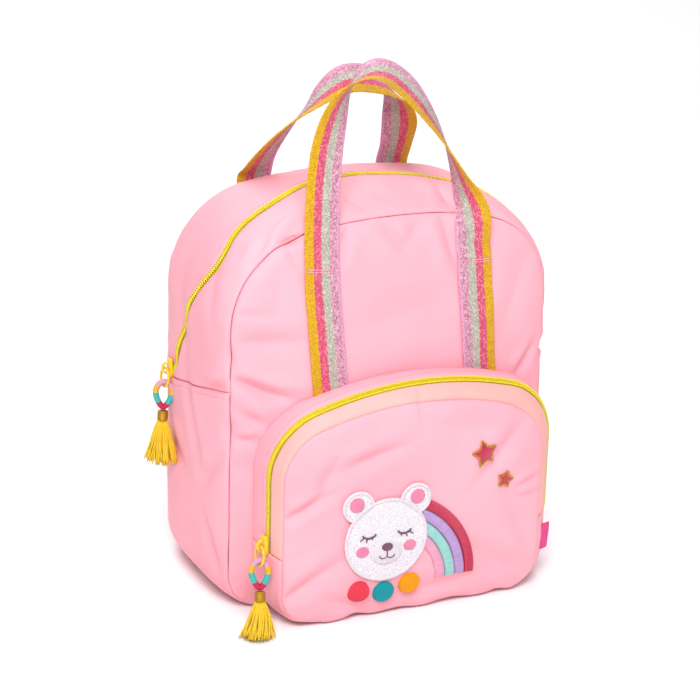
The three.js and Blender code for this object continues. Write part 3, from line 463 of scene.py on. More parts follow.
def finishPiece(bm, name, material, nodes=(), modifiers=()):
    bmesh.ops.scale(bm, vec=(metres, metres, metres), verts=bm.verts)
    for face in bm.faces:
        face.smooth = True
    mesh = bpy.data.meshes.new(name)
    bm.to_mesh(mesh)
    bm.free()
    mesh.materials.append(material)
    piece = bpy.data.objects.new(name, mesh)
    bpy.context.scene.collection.objects.link(piece)
    for kind, settings in modifiers:
        modifier = piece.modifiers.new(kind.lower(), kind)
        for key, value in settings.items():
            setattr(modifier, key, value)
    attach(piece, "root")
    if nodes:
        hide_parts(*nodes)
    return piece


# A wall of cloth, its thickness in millimetres, laid inwards of the drawn face or round it.
def wallOf(thick, offset=-1.0):
    return "SOLIDIFY", {"thickness": thick * metres, "offset": offset}


clothWall = wallOf(1.2)
smoothOnce = ("SUBSURF", {"levels": 1, "render_levels": 1})


# A flat grid, bent by place(u, v), with u and v from -1 to 1. place gives the point and
# its spot on the flat cloth, both in millimetres.
def bentGrid(bm, columns, rows, place, flipped=False):
    flat = bm.loops.layers.uv.get("flat") or bm.loops.layers.uv.new("flat")
    made = bmesh.ops.create_grid(bm, x_segments=columns, y_segments=rows, size=1)["verts"]
    faces = {face for vert in made for face in vert.link_faces}
    spots = {}
    for vert in made:
        point, spot = place(vert.co.x, vert.co.y)
        spots[vert] = spot
        vert.co = point
    for face in faces:
        for loop in face.loops:
            loop[flat].uv = spots[loop.vert]
    if flipped:
        bmesh.ops.reverse_faces(bm, faces=list(faces))
    return made


# A closed skin round a line of stations. Each station has its middle, two unit ways across
# the section, half the size each way and its distance along the line. power squares the section.
def loft(bm, stations, sides, power=2.0, ring=False):
    flat = bm.loops.layers.uv.get("flat") or bm.loops.layers.uv.new("flat")
    runs = len(stations) - 1
    made = bmesh.ops.create_grid(bm, x_segments=runs, y_segments=sides, size=1)["verts"]
    faces = {face for vert in made for face in vert.link_faces}
    spots = {}
    for vert in made:
        middle, across, up, halfAcross, halfUp, along = stations[round((vert.co.x + 1) / 2 * runs)]
        angle = (vert.co.y + 1) * math.pi
        c, s = math.cos(angle), math.sin(angle)
        sideways = math.copysign(abs(c) ** (2 / power), c) * halfAcross
        rise = math.copysign(abs(s) ** (2 / power), s) * halfUp
        spots[vert] = (along, halfAcross + sideways if power > 2 else (vert.co.y + 1) * math.pi * halfAcross)
        vert.co = middle + across * sideways + up * rise
    for face in faces:
        for loop in face.loops:
            loop[flat].uv = spots[loop.vert]
    bmesh.ops.remove_doubles(bm, verts=made, dist=1e-4)
    made = [vert for vert in made if vert.is_valid]
    if not ring:
        open_ = {edge for vert in made for edge in vert.link_edges if edge.is_boundary}
        bmesh.ops.holes_fill(bm, edges=list(open_), sides=0)
    own = list({face for vert in made for face in vert.link_faces})
    bmesh.ops.recalc_face_normals(bm, faces=own)
    return made


# Stations along points. across is the section's first way, one for all or one for each.
def stationsAlong(points, across, halfAcross, halfUp, ring=False):
    count = len(points)
    stations = []
    along = 0.0
    for k, point in enumerate(points):
        if ring:
            ahead, behind = points[(k + 1) % (count - 1)], points[(k - 1) % (count - 1)]
        else:
            ahead, behind = points[min(k + 1, count - 1)], points[max(k - 1, 0)]
        tangent = (ahead - behind).normalized()
        own = across[k] if isinstance(across, list) else across
        own = (own - tangent * own.dot(tangent)).normalized()
        if k:
            along += (point - points[k - 1]).length
        wide = halfAcross[k] if isinstance(halfAcross, list) else halfAcross
        high = halfUp[k] if isinstance(halfUp, list) else halfUp
        stations.append((point, own, tangent.cross(own), wide, high, along))
    return stations


# A uniform Catmull-Rom curve through points, read at t from 0 to 1.
def curveAt(points, t):
    runs = len(points) - 1
    at = clamp(t) * runs
    k = min(int(at), runs - 1)
    w = at - k
    p1, p2 = points[k], points[k + 1]
    p0 = points[k - 1] if k else p1 * 2 - p2
    p3 = points[k + 2] if k + 2 <= runs else p2 * 2 - p1
    m1, m2 = (p2 - p0) / 2, (p3 - p1) / 2
    w2, w3 = w * w, w * w * w
    return p1 * (2 * w3 - 3 * w2 + 1) + m1 * (w3 - 2 * w2 + w) + p2 * (3 * w2 - 2 * w3) + m2 * (w3 - w2)


# Where rows of a grid lie across a width: close together beside a seam, then even.
nearSeam = (0.0, 0.4, 1.0, 1.9, 3.4)


def rowPlace(share, count, width):
    k = share * count
    last = len(nearSeam) - 1
    if k < last:
        low = int(k)
        return mix(nearSeam[low], nearSeam[low + 1], k - low)
    if k > count - last:
        return width - rowPlace(1 - share, count, width)
    return mix(nearSeam[last], width - nearSeam[last], (k - last) / (count - 2 * last))


# How deep the cloth turns in at a seam, at a distance from it.
seamTurn = {"depth": 1.7, "reach": 1.9}


def turnIn(distance, depth=seamTurn["depth"]):
    return depth * max(0.0, 1 - distance / seamTurn["reach"]) ** 2


# Soft unevenness of stuffed cloth: broad swells and smaller ones.
swell = {"broad": 1.2, "broadSize": 52, "small": 0.22, "smallSize": 17}


def unevenness(x, y, z):
    broad = noise.noise(Vector((x, y, z)) / swell["broadSize"])
    small = noise.noise(Vector((x + 300, y, z)) / swell["smallSize"])
    return swell["broad"] * broad + swell["small"] * small


# Gathers where a seam draws the cloth up: short waves along it that die away from it.
gathers = {"depth": 0.6, "length": 9, "reach": 12}


def gathered(along, distance, seed):
    wave = noise.noise(Vector((along / gathers["length"], seed, 0)))
    return gathers["depth"] * wave * math.exp(-((distance / gathers["reach"]) ** 2)) * min(1, distance / 1.5)


# Body

class Arch:
    def __init__(self, halfWidth, top, corner, topRadius, foot, footCorner, across=0):
        self.halfWidth, self.top, self.corner = halfWidth, top, corner
        self.topRadius, self.foot, self.footCorner, self.across = topRadius, foot, footCorner, across
        reach = topRadius - corner
        self.cornerX = halfWidth - corner
        self.cornerZ = top - topRadius + math.sqrt(reach**2 - self.cornerX**2)
        self.turn = math.acos(self.cornerX / reach)
        self.footEnd = halfWidth - footCorner
        self.cornerStart = self.footEnd + footCorner * math.pi / 2
        self.sideEnd = self.cornerStart + self.cornerZ - foot - footCorner
        self.shoulderEnd = self.sideEnd + corner * self.turn
        self.half = self.shoulderEnd + topRadius * (math.pi / 2 - self.turn)
        self.middle = (foot + top) / 2
        self.ends = (0, self.footEnd, self.cornerStart, self.sideEnd, self.shoulderEnd, self.half)

    # x, z and the outward way at a distance round the arch from the middle of its foot.
    def place(self, distance):
        side = -1 if distance < 0 else 1
        d = min(abs(distance), self.half)
        if d < self.footEnd:
            return self.across + side * d, self.foot, 0, -1
        if d < self.cornerStart:
            angle = (d - self.footEnd) / self.footCorner - math.pi / 2
            cx, cz, radius = self.footEnd, self.foot + self.footCorner, self.footCorner
        elif d < self.sideEnd:
            height = self.foot + self.footCorner + d - self.cornerStart
            return self.across + side * self.halfWidth, height, side, 0
        elif d < self.shoulderEnd:
            angle = (d - self.sideEnd) / self.corner
            cx, cz, radius = self.cornerX, self.cornerZ, self.corner
        else:
            angle = self.turn + (d - self.shoulderEnd) / self.topRadius
            cx, cz, radius = 0, self.top - self.topRadius, self.topRadius
        c, s = math.cos(angle), math.sin(angle)
        return self.across + side * (cx + radius * c), cz + radius * s, side * c, s

    def along(self, height):
        return self.cornerStart + height - self.foot - self.footCorner

    # How far out the arch reaches at a height.
    def reach(self, z):
        if z < self.foot or z > self.top:
            return 0
        if z < self.foot + self.footCorner:
            rise = self.foot + self.footCorner - z
            return self.footEnd + math.sqrt(max(0, self.footCorner**2 - rise**2))
        if z < self.cornerZ:
            return self.halfWidth
        if z < self.cornerZ + self.corner * math.sin(self.turn):
            return self.cornerX + math.sqrt(max(0, self.corner**2 - (z - self.cornerZ) ** 2))
        return math.sqrt(max(0, self.topRadius**2 - (z - self.top + self.topRadius) ** 2))

    # How high the arch is above a place on its foot.
    def height(self, x):
        beside = abs(x - self.across) - self.cornerX
        if beside > self.corner * math.cos(self.turn):
            return self.cornerZ + math.sqrt(max(0, self.corner**2 - beside**2))
        return self.top - self.topRadius + math.sqrt(self.topRadius**2 - (x - self.across) ** 2)

    # 0 in the middle of the face, 1 at its edge and more outside it.
    def spread(self, x, z):
        inside, outside = 0.0, 4.0
        for _ in range(16):
            t = (inside + outside) / 2
            if abs(x - self.across) * t < self.reach(self.middle + (z - self.middle) * t):
                inside = t
            else:
                outside = t
        return 1 / inside

    def share(self, x, z):
        return min(1.0, self.spread(x, z))

    # A spot of the face for a grid whose square rings follow the arch: x, z, the distance
    # to the edge, the distance round the edge, and the edge's outward way.
    def face(self, u, v, rings):
        ring = max(abs(u), abs(v))
        if ring < 1e-6:
            return self.across, self.middle, self.halfWidth, 0, 0, 0
        a, b = u / ring, v / ring
        lowCorner = (self.footEnd + self.cornerStart) / 2
        highCorner = (self.sideEnd + self.shoulderEnd) / 2
        if b <= -1 + 1e-6:
            distance = abs(a) * lowCorner
        elif b >= 1 - 1e-6:
            distance = mix(self.half, highCorner, abs(a))
        else:
            distance = mix(lowCorner, highCorner, (b + 1) / 2)
        distance = math.copysign(distance, a)
        edgeX, edgeZ, nx, nz = self.place(distance)
        spoke = math.hypot(edgeX - self.across, edgeZ - self.middle)
        out = spoke - edgeRing(1 - ring, rings, spoke)
        return (
            mix(self.across, edgeX, out / spoke),
            mix(self.middle, edgeZ, out / spoke),
            spoke - out,
            distance,
            nx,
            nz,
        )


# The distance from the edge of ring number share * rings, close together beside the edge.
def edgeRing(share, rings, spoke):
    k = share * rings
    last = len(nearSeam) - 1
    if k < last:
        low = int(k + 1e-6)
        return mix(nearSeam[low], nearSeam[min(low + 1, last)], k - low)
    return mix(nearSeam[last], spoke, (k - last) / (rings - last))


bodyShape = {
    "depth": 114, "frontDome": 15, "backDome": 3, "gussetBulge": 8, "seamFront": 161,
    "seamBack": 135, "zipSlot": 5.4, "seamGap": 1.3, "frontRings": 80, "backRings": 44,
}
body = Arch(halfWidth=117, top=272, corner=66, topRadius=450, foot=0, footCorner=27)
pocketBack = Arch(across=4.5, halfWidth=106.5, top=166, corner=48, topRadius=230, foot=0.8, footCorner=30)

# Folds, in millimetres: the middle's place, the way it runs in degrees, how long and wide it
# is to either side, and how deep. Each valley lies between two ridges, the upper one higher.
frontFolds = [
    (-40, 257, 65, 18, 4.5, 4.5),
    (-76, 257, 115, 15, 4, 4.0),
    (-5, 261, -47, 18, 3.6, 3.4),
    (14, 262, 50, 14, 5, 1.8),
    (38, 254, -76, 22, 4.5, 4.5),
    (-106, 167, -25, 24, 3.6, 6.2),
    (-86, 157, -18, 18, 5, 2.6),
    (-98, 196, -3, 26, 6, 3.2),
    (-101, 141, -32, 17, 3.6, 4.6),
    (-108, 127, -10, 18, 3.4, 4.8),
    (-104, 104, -20, 16, 5, 2.6),
    (100, 156, 53, 18, 3.8, 4.2),
    (-114, 217, -5, 16, 3, 2.2),
    (88, 205, 70, 34, 9, 2.2),
    (-84, 232, 80, 26, 8, 1.8),
    (0, 205, 12, 46, 12, 1.5),
    (104, 120, 20, 16, 4.5, 2.4),
]
pocketFolds = [
    (-88, 85, 27, 24, 3.8, 5.0),
    (-84, 29, 32, 30, 5.5, 5.0),
    (-34, 119, 15, 22, 5, 4.2),
    (-64, 110, 62, 18, 5, 2.2),
    (64, 110, 48, 26, 6, 3.4),
    (90, 84, 15, 12, 3, 3.0),
    (89, 73, -8, 11, 3, 2.2),
    (60, 30, -30, 34, 8, 3.0),
    (84, 50, -60, 22, 6, 2.6),
    (18, 17, 6, 40, 6, 2.4),
    (-48, 14, -24, 18, 5, 2.6),
    (40, 132, -12, 26, 6, 1.8),
]
gussetFolds = [
    (-46, 162, -20, 18, 3.8, 4.6),
    (-12, 122, 62, 28, 6, 3.2),
    (22, 92, 30, 28, 7, 2.4),
    (-38, 98, -50, 26, 5.5, 3.2),
    (10, 196, 80, 36, 8, 2.4),
    (-40, 42, 60, 24, 5.5, 3.4),
    (-32, 225, 70, 26, 6, 2.2),
    (30, 150, -40, 20, 5, 2.2),
]
topFolds = [
    (-70, -51, 8, 9, 3.2, 9.0),
    (-92, -50, 30, 8, 3.5, 4.5),
    (45, -37, 78, 19, 4, 3.0),
    (-20, -40, -75, 15, 5, 2.0),
]
# Where the seam round the front is drawn in: how far round the arch from the middle of its
# foot, how long to either side, and how deep.
seamDents = [
    (-388, 10, 8.5), (-363, 11, 2.5), (-291, 7, 2.5), (-238, 10, 3.0), (395, 18, 3.5), (262, 10, 2.0),
]
pocketDents = [
    (-80, 9, 2.0), (-42, 10, 2.6), (-10, 8, 1.4), (30, 12, 2.4), (66, 9, 1.8), (-250, 8, 1.6), (230, 9, 1.8),
]


# How sharply a valley bends, and how its two ridges stand beside it, in widths and depths.
foldShape = {
    "bend": 1.4, "ridgeAway": 1.9, "ridgeWide": 1.2, "upperRidge": 0.5, "lowerRidge": 0.25, "ends": 2.4,
}


def foldLift(folds, x, z):
    shape = foldShape
    total = 0
    for middleX, middleZ, heading, long, wide, depth in folds:
        angle = math.radians(heading)
        dx, dz = x - middleX, z - middleZ
        along = (dx * math.cos(angle) + dz * math.sin(angle)) / long
        if abs(along) > shape["ends"]:
            continue
        aside = (dz * math.cos(angle) - dx * math.sin(angle)) / wide
        upper = math.exp(-(((aside - shape["ridgeAway"]) / shape["ridgeWide"]) ** 2))
        lower = math.exp(-(((aside + shape["ridgeAway"]) / shape["ridgeWide"]) ** 2))
        valley = math.exp(-(abs(aside) ** shape["bend"])) - shape["upperRidge"] * upper
        valley -= shape["lowerRidge"] * lower
        total -= depth * math.exp(-(along**2)) * valley
    return total


# How far a seam is drawn in at a place along it, and how that fades beside it: its dents
# soon, and its wander, a short wave and a long one, over twice that.
seamShape = {"dentReach": 4.5, "wanderReach": 9, "short": (0.8, 13), "long": (0.9, 47), "in": 0.6, "back": 0.8}


def seamPull(distance, edge, dents, seed):
    sink = sum(depth * math.exp(-(((distance - at) / long) ** 2)) for at, long, depth in dents)
    (short, shortWave), (long, longWave) = seamShape["short"], seamShape["long"]
    wander = short * noise.noise(Vector((distance / shortWave, seed, 0)))
    wander += long * noise.noise(Vector((distance / longWave, seed, 9)))
    fadingDents = sink * math.exp(-((edge / seamShape["dentReach"]) ** 2))
    return fadingDents + wander * math.exp(-((edge / seamShape["wanderReach"]) ** 2))


def crown(rise, share):
    return rise * max(0, 1 - share**2.6) ** 0.75


def plainFront(x, z):
    return -bodyShape["depth"] / 2 - crown(bodyShape["frontDome"], body.share(x, z))


# The front with its folds, which the seam of the body and that of the pocket hold flat.
pocketHold = {"share": 0.7, "reach": 7}


def frontFace(x, z):
    spoke = math.hypot(x - pocketBack.across, z - pocketBack.middle)
    away = spoke * (1 - 1 / max(0.01, pocketBack.spread(x, z)))
    free = 1 - pocketHold["share"] * math.exp(-((away / pocketHold["reach"]) ** 2))
    free = (1 - body.share(x, z) ** 16) * free
    return plainFront(x, z) - foldLift(frontFolds, x, z) * free


def backFace(x, z):
    return bodyShape["depth"] / 2 + crown(bodyShape["backDome"], body.share(x, z))


def gusset(distance, y, inward):
    x, z, nx, nz = body.place(distance)
    across = min(1, abs(2 * y / bodyShape["depth"]))
    raised = ease((abs(distance) - body.footEnd) / (body.footCorner * 1.6))
    pulled = seamPull(distance, bodyShape["depth"] / 2 + y, seamDents, 3.0)
    out = bodyShape["gussetBulge"] * raised * (1 - across**4) - inward - seamShape["in"] * pulled
    folds = foldLift(gussetFolds, y, z) * abs(nx) + foldLift(topFolds, x, y) * max(0, nz)
    out += folds * (1 - across**8)
    return Vector((x + nx * out, y + seamShape["back"] * pulled, max(0.1, z + nz * out)))


# A sewn face: its cloth turns in at the seam all round, with gathers beside it.
def sewnFace(arch, rings, depthAt, way, seed, dents=()):
    def place(u, v):
        x, z, edge, distance, nx, nz = arch.face(u, v, rings)
        pulled = seamPull(distance, edge, dents, seed) if way > 0 else 0
        inset = turnIn(edge) * 0.8 + seamShape["in"] * pulled
        y = depthAt(x, z) + way * (turnIn(edge) + seamShape["back"] * pulled)
        y -= way * (unevenness(x, seed, z) * min(1, edge / 12) + gathered(distance, edge, seed))
        return Vector((x - nx * inset, y, z - nz * inset)), (x, z)

    return place


# Seam allowances: inside each seam lies a roll of the same cloth, which closes it.
rollShape = {"inset": 2.7, "halfWide": 1.5, "halfHigh": 1.2}


def seamRoll(bm, arch, y, dents, seed, count=260):
    points = []
    for k in range(count + 1):
        distance = arch.half * (2 * (k % count) / count - 1)
        x, z, nx, nz = arch.place(distance)
        pulled = seamPull(distance, 0, dents, seed) if seed else 0
        inset = rollShape["inset"] + seamShape["in"] * pulled
        points.append(Vector((x - nx * inset, y + seamShape["back"] * pulled, z - nz * inset)))
    stations = stationsAlong(points, Vector((0, 1, 0)), rollShape["halfWide"], rollShape["halfHigh"], True)
    loft(bm, stations, 8, ring=True)


bm = bmesh.new()
rings = bodyShape["frontRings"]
bentGrid(bm, 2 * rings, 2 * rings, sewnFace(body, rings, frontFace, 1, 3.0, seamDents))
frontPanel = finishPiece(bm, "frontPanel", pinkPolyester, ["front_panel"], [clothWall])

bm = bmesh.new()
rings = bodyShape["backRings"]
bentGrid(bm, 2 * rings, 2 * rings, sewnFace(body, rings, backFace, -1, 7.0), flipped=True)
backPanel = finishPiece(bm, "backPanel", pinkPolyester, ["back_panel"], [clothWall])
print("faces made")

zipRun = [
    (0, 0.6), (0.06, 0.43), (0.165, 0.2), (0.28, -0.1), (0.37, -0.37), (0.44, -0.43),
    (0.53, -0.33), (0.66, -0.22), (0.8, 0.08), (0.9, 0.18), (1, 0.24), (1.1, 0.18),
]


# The zip's place across the gusset, at a share of its run from its low end to the top.
def zipDepth(run):
    k = 0
    while k < len(zipRun) - 2 and zipRun[k + 1][0] < run:
        k += 1
    p, q = zipRun[k], zipRun[k + 1]
    before = zipRun[k - 1] if k else p
    after = zipRun[k + 2] if k + 2 < len(zipRun) else q
    span = q[0] - p[0]
    t = clamp((run - p[0]) / span)
    m = (q[1] - before[1]) / (q[0] - before[0]) * span
    n = (after[1] - p[1]) / (after[0] - p[0]) * span
    t2, t3 = t * t, t * t * t
    back = (2 * t3 - 3 * t2 + 1) * p[1] + (t3 - 2 * t2 + t) * m + (3 * t2 - 2 * t3) * q[1] + (t3 - t2) * n
    return back * bodyShape["depth"] / 2


def seamAlong(y):
    return body.along(mix(bodyShape["seamFront"], bodyShape["seamBack"], y / bodyShape["depth"] + 0.5))


gussetEdge = bodyShape["depth"] / 2 - bodyShape["seamGap"]


# A band of the gusset over the top. low and high give its two long edges at a run.
def topBand(columns, rows, low, high, seed):
    def place(u, v):
        length = 2 * (body.half - seamAlong(0))
        s = rowPlace((u + 1) / 2, columns, length) - length / 2
        run = 1 - abs(2 * s / length)
        width = high(run) - low(run)
        w = rowPlace((v + 1) / 2, rows, width)
        y = low(run) + w
        distance = math.copysign(mix(seamAlong(y), body.half, run), s)
        sideSeam = length / 2 - abs(s)
        inward = turnIn(w) + turnIn(width - w) + turnIn(sideSeam)
        x, z, _, _ = body.place(distance)
        free = min(1, w / 12, (width - w) / 12)
        inward -= unevenness(x, y, z) * free + gathered(s, w, seed) + gathered(s, width - w, seed + 5)
        return gusset(distance, y, inward), (s, y)

    return place


columns = 300
bm = bmesh.new()
slotHalf = bodyShape["zipSlot"] / 2
band = topBand(columns, 28, lambda run: -gussetEdge, lambda run: zipDepth(run) - slotHalf, 11.0)
bentGrid(bm, columns, 28, band)
gussetFrontBand = finishPiece(
    bm, "gussetFrontBand", pinkPolyester, ["zip_gusset_front"], [clothWall]
)

bm = bmesh.new()
band = topBand(columns, 26, lambda run: zipDepth(run) + slotHalf, lambda run: gussetEdge, 17.0)
bentGrid(bm, columns, 26, band)
gussetBackBand = finishPiece(
    bm, "gussetBackBand", pinkPolyester, ["zip_gusset_back"], [clothWall]
)


def baseBand(columns, rows, seed):
    def place(u, v):
        w = rowPlace((v + 1) / 2, rows, 2 * gussetEdge)
        y = w - gussetEdge
        length = 2 * seamAlong(y)
        distance = rowPlace((u + 1) / 2, columns, length) - length / 2
        inward = turnIn(w) + turnIn(2 * gussetEdge - w) + turnIn(length / 2 - abs(distance))
        x, z, _, nz = body.place(distance)
        free = min(1, w / 12, (2 * gussetEdge - w) / 12) * (1 + min(0, nz))
        inward -= (unevenness(x, y, z) + gathered(distance, w, seed)) * free
        return gusset(distance, y, inward), (distance, y)

    return place


bm = bmesh.new()
bentGrid(bm, 290, 60, baseBand(290, 60, 23.0), flipped=True)
gussetBase = finishPiece(bm, "gussetBase", pinkPolyester, ["base_gusset"], [clothWall])
print("gusset made")

# Zips. The tape lies in the slot, and on it stand two rows of coil: nylon thread wound in a
# flat helix, each turn of one row between two of the other.
zipShape = {
    "tapeDepth": 1.3, "tapeLap": 0.9, "tapeWall": 0.6, "pitch": 1.5, "wire": 0.4, "wide": 1.0, "high": 0.5,
    "aside": 1.1, "steps": 9,
}


def coilRows(bm, length, frameAt):
    turns = round(length / zipShape["pitch"])
    steps = turns * zipShape["steps"]
    frames = [frameAt(length * k / steps) for k in range(steps + 1)]
    for side in (-1, 1):
        points = []
        for k, (middle, along, out) in enumerate(frames):
            angle = 2 * math.pi * k / zipShape["steps"] + (math.pi if side > 0 else 0)
            aside = side * (zipShape["aside"] + zipShape["wide"] * math.cos(angle))
            points.append(middle + out.cross(along) * aside + out * (zipShape["high"] * math.sin(angle)))
        ways = [frame[1] for frame in frames]
        loft(bm, stationsAlong(points, ways, zipShape["wire"], zipShape["wire"]), 5)


# The coil, and the tape that shows on both sides of it and under it.
def makeZip(name, node, length, frameAt, onZip, columns, flipped):
    bm = bmesh.new()
    coilRows(bm, length, frameAt)
    finishPiece(bm, f"{name}Coil", zipCoil, [node])

    def place(u, v):
        s = (u + 1) / 2 * length
        return onZip(s, zipShape["tapeDepth"], v * (slotHalf + zipShape["tapeLap"])), (s, v * slotHalf)

    bm = bmesh.new()
    bentGrid(bm, columns, 6, place, flipped)
    finishPiece(bm, f"{name}Tape", zipTape, [], [wallOf(zipShape["tapeWall"])])


def onMainZip(s, inward, aside=0.0):
    length = 2 * (body.half - seamAlong(0))
    s -= length / 2
    run = 1 - abs(2 * s / length)
    y = zipDepth(run) + aside
    return gusset(math.copysign(mix(seamAlong(y), body.half, run), s), y, inward)


def mainZipFrame(s):
    middle = onMainZip(s, 0.1)
    along = (onMainZip(s + 0.5, 0.1) - onMainZip(s - 0.5, 0.1)).normalized()
    out = (onMainZip(s, -1) - middle).normalized()
    return middle, along, (out - along * out.dot(along)).normalized()


mainZipLength = 2 * (body.half - seamAlong(0))
makeZip("mainZip", "main_zip", mainZipLength, mainZipFrame, onMainZip, 220, False)
print("main zip made")

# Pocket
pocketShape = {
    "depth": 42, "dome": 7, "inset": 9.2, "drop": 12, "bulgeLeft": 1.5, "bulgeRight": 8,
    "seamHeight": 56, "zipShare": 0.6, "sink": 0.2, "foldFade": 0.3, "rings": 62,
}
pocketFace = Arch(
    across=2,
    halfWidth=pocketBack.halfWidth - pocketShape["inset"],
    top=pocketBack.top - pocketShape["drop"],
    corner=pocketBack.corner - pocketShape["inset"],
    topRadius=230,
    foot=0.8,
    footCorner=pocketBack.footCorner - pocketShape["inset"] / 2,
)


def pocketFront(x, z):
    share = pocketFace.share(x, z)
    lift = foldLift(pocketFolds, x, z) * (1 - share**16)
    return -bodyShape["depth"] / 2 - pocketShape["depth"] - crown(pocketShape["dome"], share) - lift


# How far round the face's arch lies across from a distance round the back one.
def acrossFrom(distance):
    far = abs(distance)
    k = 0
    while k < len(pocketBack.ends) - 2 and far > pocketBack.ends[k + 1]:
        k += 1
    low, high = pocketBack.ends[k : k + 2]
    share = min(1, (far - low) / (high - low))
    return math.copysign(mix(*pocketFace.ends[k : k + 2], share), distance)


def pocketSide(run, shift, inward):
    backX, backZ, nx, nz = pocketBack.place(run * pocketBack.half)
    faceRun = acrossFrom(run * pocketBack.half)
    faceX, faceZ, _, _ = pocketFace.place(faceRun)
    sink = pocketShape["sink"]
    backY = plainFront(backX, backZ) - sink
    backFold = (frontFace(backX, backZ) - sink - backY) * (1 - ease(shift / pocketShape["foldFade"]))
    pulled = seamPull(faceRun, pocketShape["depth"] * (1 - shift), pocketDents, 31.0)
    faceY = -bodyShape["depth"] / 2 - pocketShape["depth"] + bodyShape["seamGap"]
    raised = ease((abs(run) * pocketBack.half - pocketBack.footEnd) / pocketBack.footCorner)
    bulge = mix(pocketShape["bulgeLeft"], pocketShape["bulgeRight"], ease((1 + nx) / 2))
    out = bulge * raised * 4 * shift * (1 - shift) - inward - seamShape["in"] * pulled
    y = mix(backY, faceY, shift) + backFold + seamShape["back"] * pulled
    return Vector((mix(backX, faceX, shift) + nx * out, y, mix(backZ, faceZ, shift) + nz * out))


bm = bmesh.new()
rings = pocketShape["rings"]
bentGrid(bm, 2 * rings, 2 * rings, sewnFace(pocketFace, rings, pocketFront, 1, 31.0, pocketDents))
pocketPanel = finishPiece(
    bm, "pocketPanel", pinkPolyester, ["pocket_panel"], [clothWall]
)

pocketSeamRun = pocketBack.along(pocketShape["seamHeight"]) / pocketBack.half
pocketSlotShare = bodyShape["zipSlot"] / pocketShape["depth"] / 2
pocketLength = 2 * pocketBack.half * (1 - pocketSeamRun)


def pocketRun(s):
    return math.copysign(mix(pocketSeamRun, 1, 1 - abs(2 * s / pocketLength)), s)


def pocketBand(columns, rows, low, high, seed):
    width = (high - low) * pocketShape["depth"]

    def place(u, v):
        s = rowPlace((u + 1) / 2, columns, pocketLength) - pocketLength / 2
        w = rowPlace((v + 1) / 2, rows, width)
        inward = turnIn(w) + turnIn(width - w) + turnIn(pocketLength / 2 - abs(s))
        inward -= gathered(s, w, seed) * 0.7 + gathered(s, width - w, seed + 5) * 0.7
        shift = mix(low, high, w / width)
        return pocketSide(pocketRun(s), shift, inward), (s, w)

    return place


bm = bmesh.new()
zipLow = pocketShape["zipShare"] - pocketSlotShare
zipHigh = pocketShape["zipShare"] + pocketSlotShare
bentGrid(bm, 230, 22, pocketBand(230, 22, 0, zipLow, 37.0), flipped=True)
pocketBackBand = finishPiece(
    bm, "pocketBackBand", pinkPolyester, ["pocket_gusset_back"], [clothWall]
)

bm = bmesh.new()
bentGrid(bm, 230, 18, pocketBand(230, 18, zipHigh, 1, 41.0), flipped=True)
pocketFrontBand = finishPiece(
    bm, "pocketFrontBand", peachPolyester, ["pocket_gusset_front"], [clothWall]
)


def pocketBase(columns, rows, seed):
    def place(u, v):
        length = 2 * pocketBack.half * pocketSeamRun
        s = rowPlace((u + 1) / 2, columns, length) - length / 2
        w = rowPlace((v + 1) / 2, rows, pocketShape["depth"])
        inward = turnIn(w) + turnIn(pocketShape["depth"] - w) + turnIn(length / 2 - abs(s))
        _, z, _, nz = pocketBack.place(s)
        inward -= gathered(s, w, seed) * (1 + min(0, nz))
        return pocketSide(s / pocketBack.half, w / pocketShape["depth"], inward), (s, w)

    return place


bm = bmesh.new()
bentGrid(bm, 220, 32, pocketBase(220, 32, 43.0))
finishPiece(bm, "pocketBase", pinkPolyester, ["pocket_base_gusset"], [clothWall])


def onPocketZip(s, inward, aside=0.0):
    shift = pocketShape["zipShare"] + aside / pocketShape["depth"]
    return pocketSide(pocketRun(s - pocketLength / 2), shift, inward)


def pocketZipFrame(s):
    middle = onPocketZip(s, 0.1)
    along = (onPocketZip(s + 0.5, 0.1) - onPocketZip(s - 0.5, 0.1)).normalized()
    side = (onPocketZip(s, 0.1, 1) - onPocketZip(s, 0.1, -1)).normalized()
    out = side.cross(along).normalized()
    if out.dot(onPocketZip(s, -1) - middle) < 0:
        out = -out
    return middle, along, out


makeZip("pocketZip", "pocket_zip", pocketLength, pocketZipFrame, onPocketZip, 180, True)
print("pocket made")


# The finished cloth of some pieces, ready to lay things on.
def clothTrees(*pieces):
    drawn = bpy.context.evaluated_depsgraph_get()
    return [BVHTree.FromObject(piece, drawn) for piece in pieces]


# The first cloth met from a point along a way, or None.
def meet(trees, point, way):
    hits = [tree.ray_cast(point * metres, way) for tree in trees]
    hits = [hit for hit in hits if hit[0] is not None]
    return min(hits, key=lambda hit: hit[3])[0] / metres if hits else None


frontTrees = clothTrees(frontPanel, gussetFrontBand)
pocketTrees = clothTrees(pocketPanel)


def clothDepth(trees, x, z, missing=None):
    hit = meet(trees, Vector((x, -400, z)), Vector((0, 1, 0)))
    return hit.y if hit else missing


# A row of stitches: one thread that lies on the cloth for each stitch and dips into it
# between two. spotAt(s) gives a spot on the cloth and its outward way.
stitches = {"pitch": 3.0, "thread": 0.5, "dip": 0.7, "steps": 8}


def stitchRow(bm, length, spotAt, pitch=stitches["pitch"], thread=stitches["thread"]):
    steps = max(1, round(length / pitch)) * stitches["steps"]
    points, ways = [], []
    for k in range(steps + 1):
        spot = spotAt(length * k / steps)
        if spot is None:
            continue
        point, out = spot
        hole = max(0, math.cos(2 * math.pi * k / stitches["steps"]))
        points.append(point + out * (thread * 0.3 - stitches["dip"] * hole))
        ways.append(out)
    loft(bm, stationsAlong(points, ways, thread / 2, thread * 0.6), 6)


# A spot on the cloth, found from outside along the inward way.
def onCloth(trees, outside, inward):
    hit = meet(trees, outside, inward)
    return (hit, -inward) if hit else None


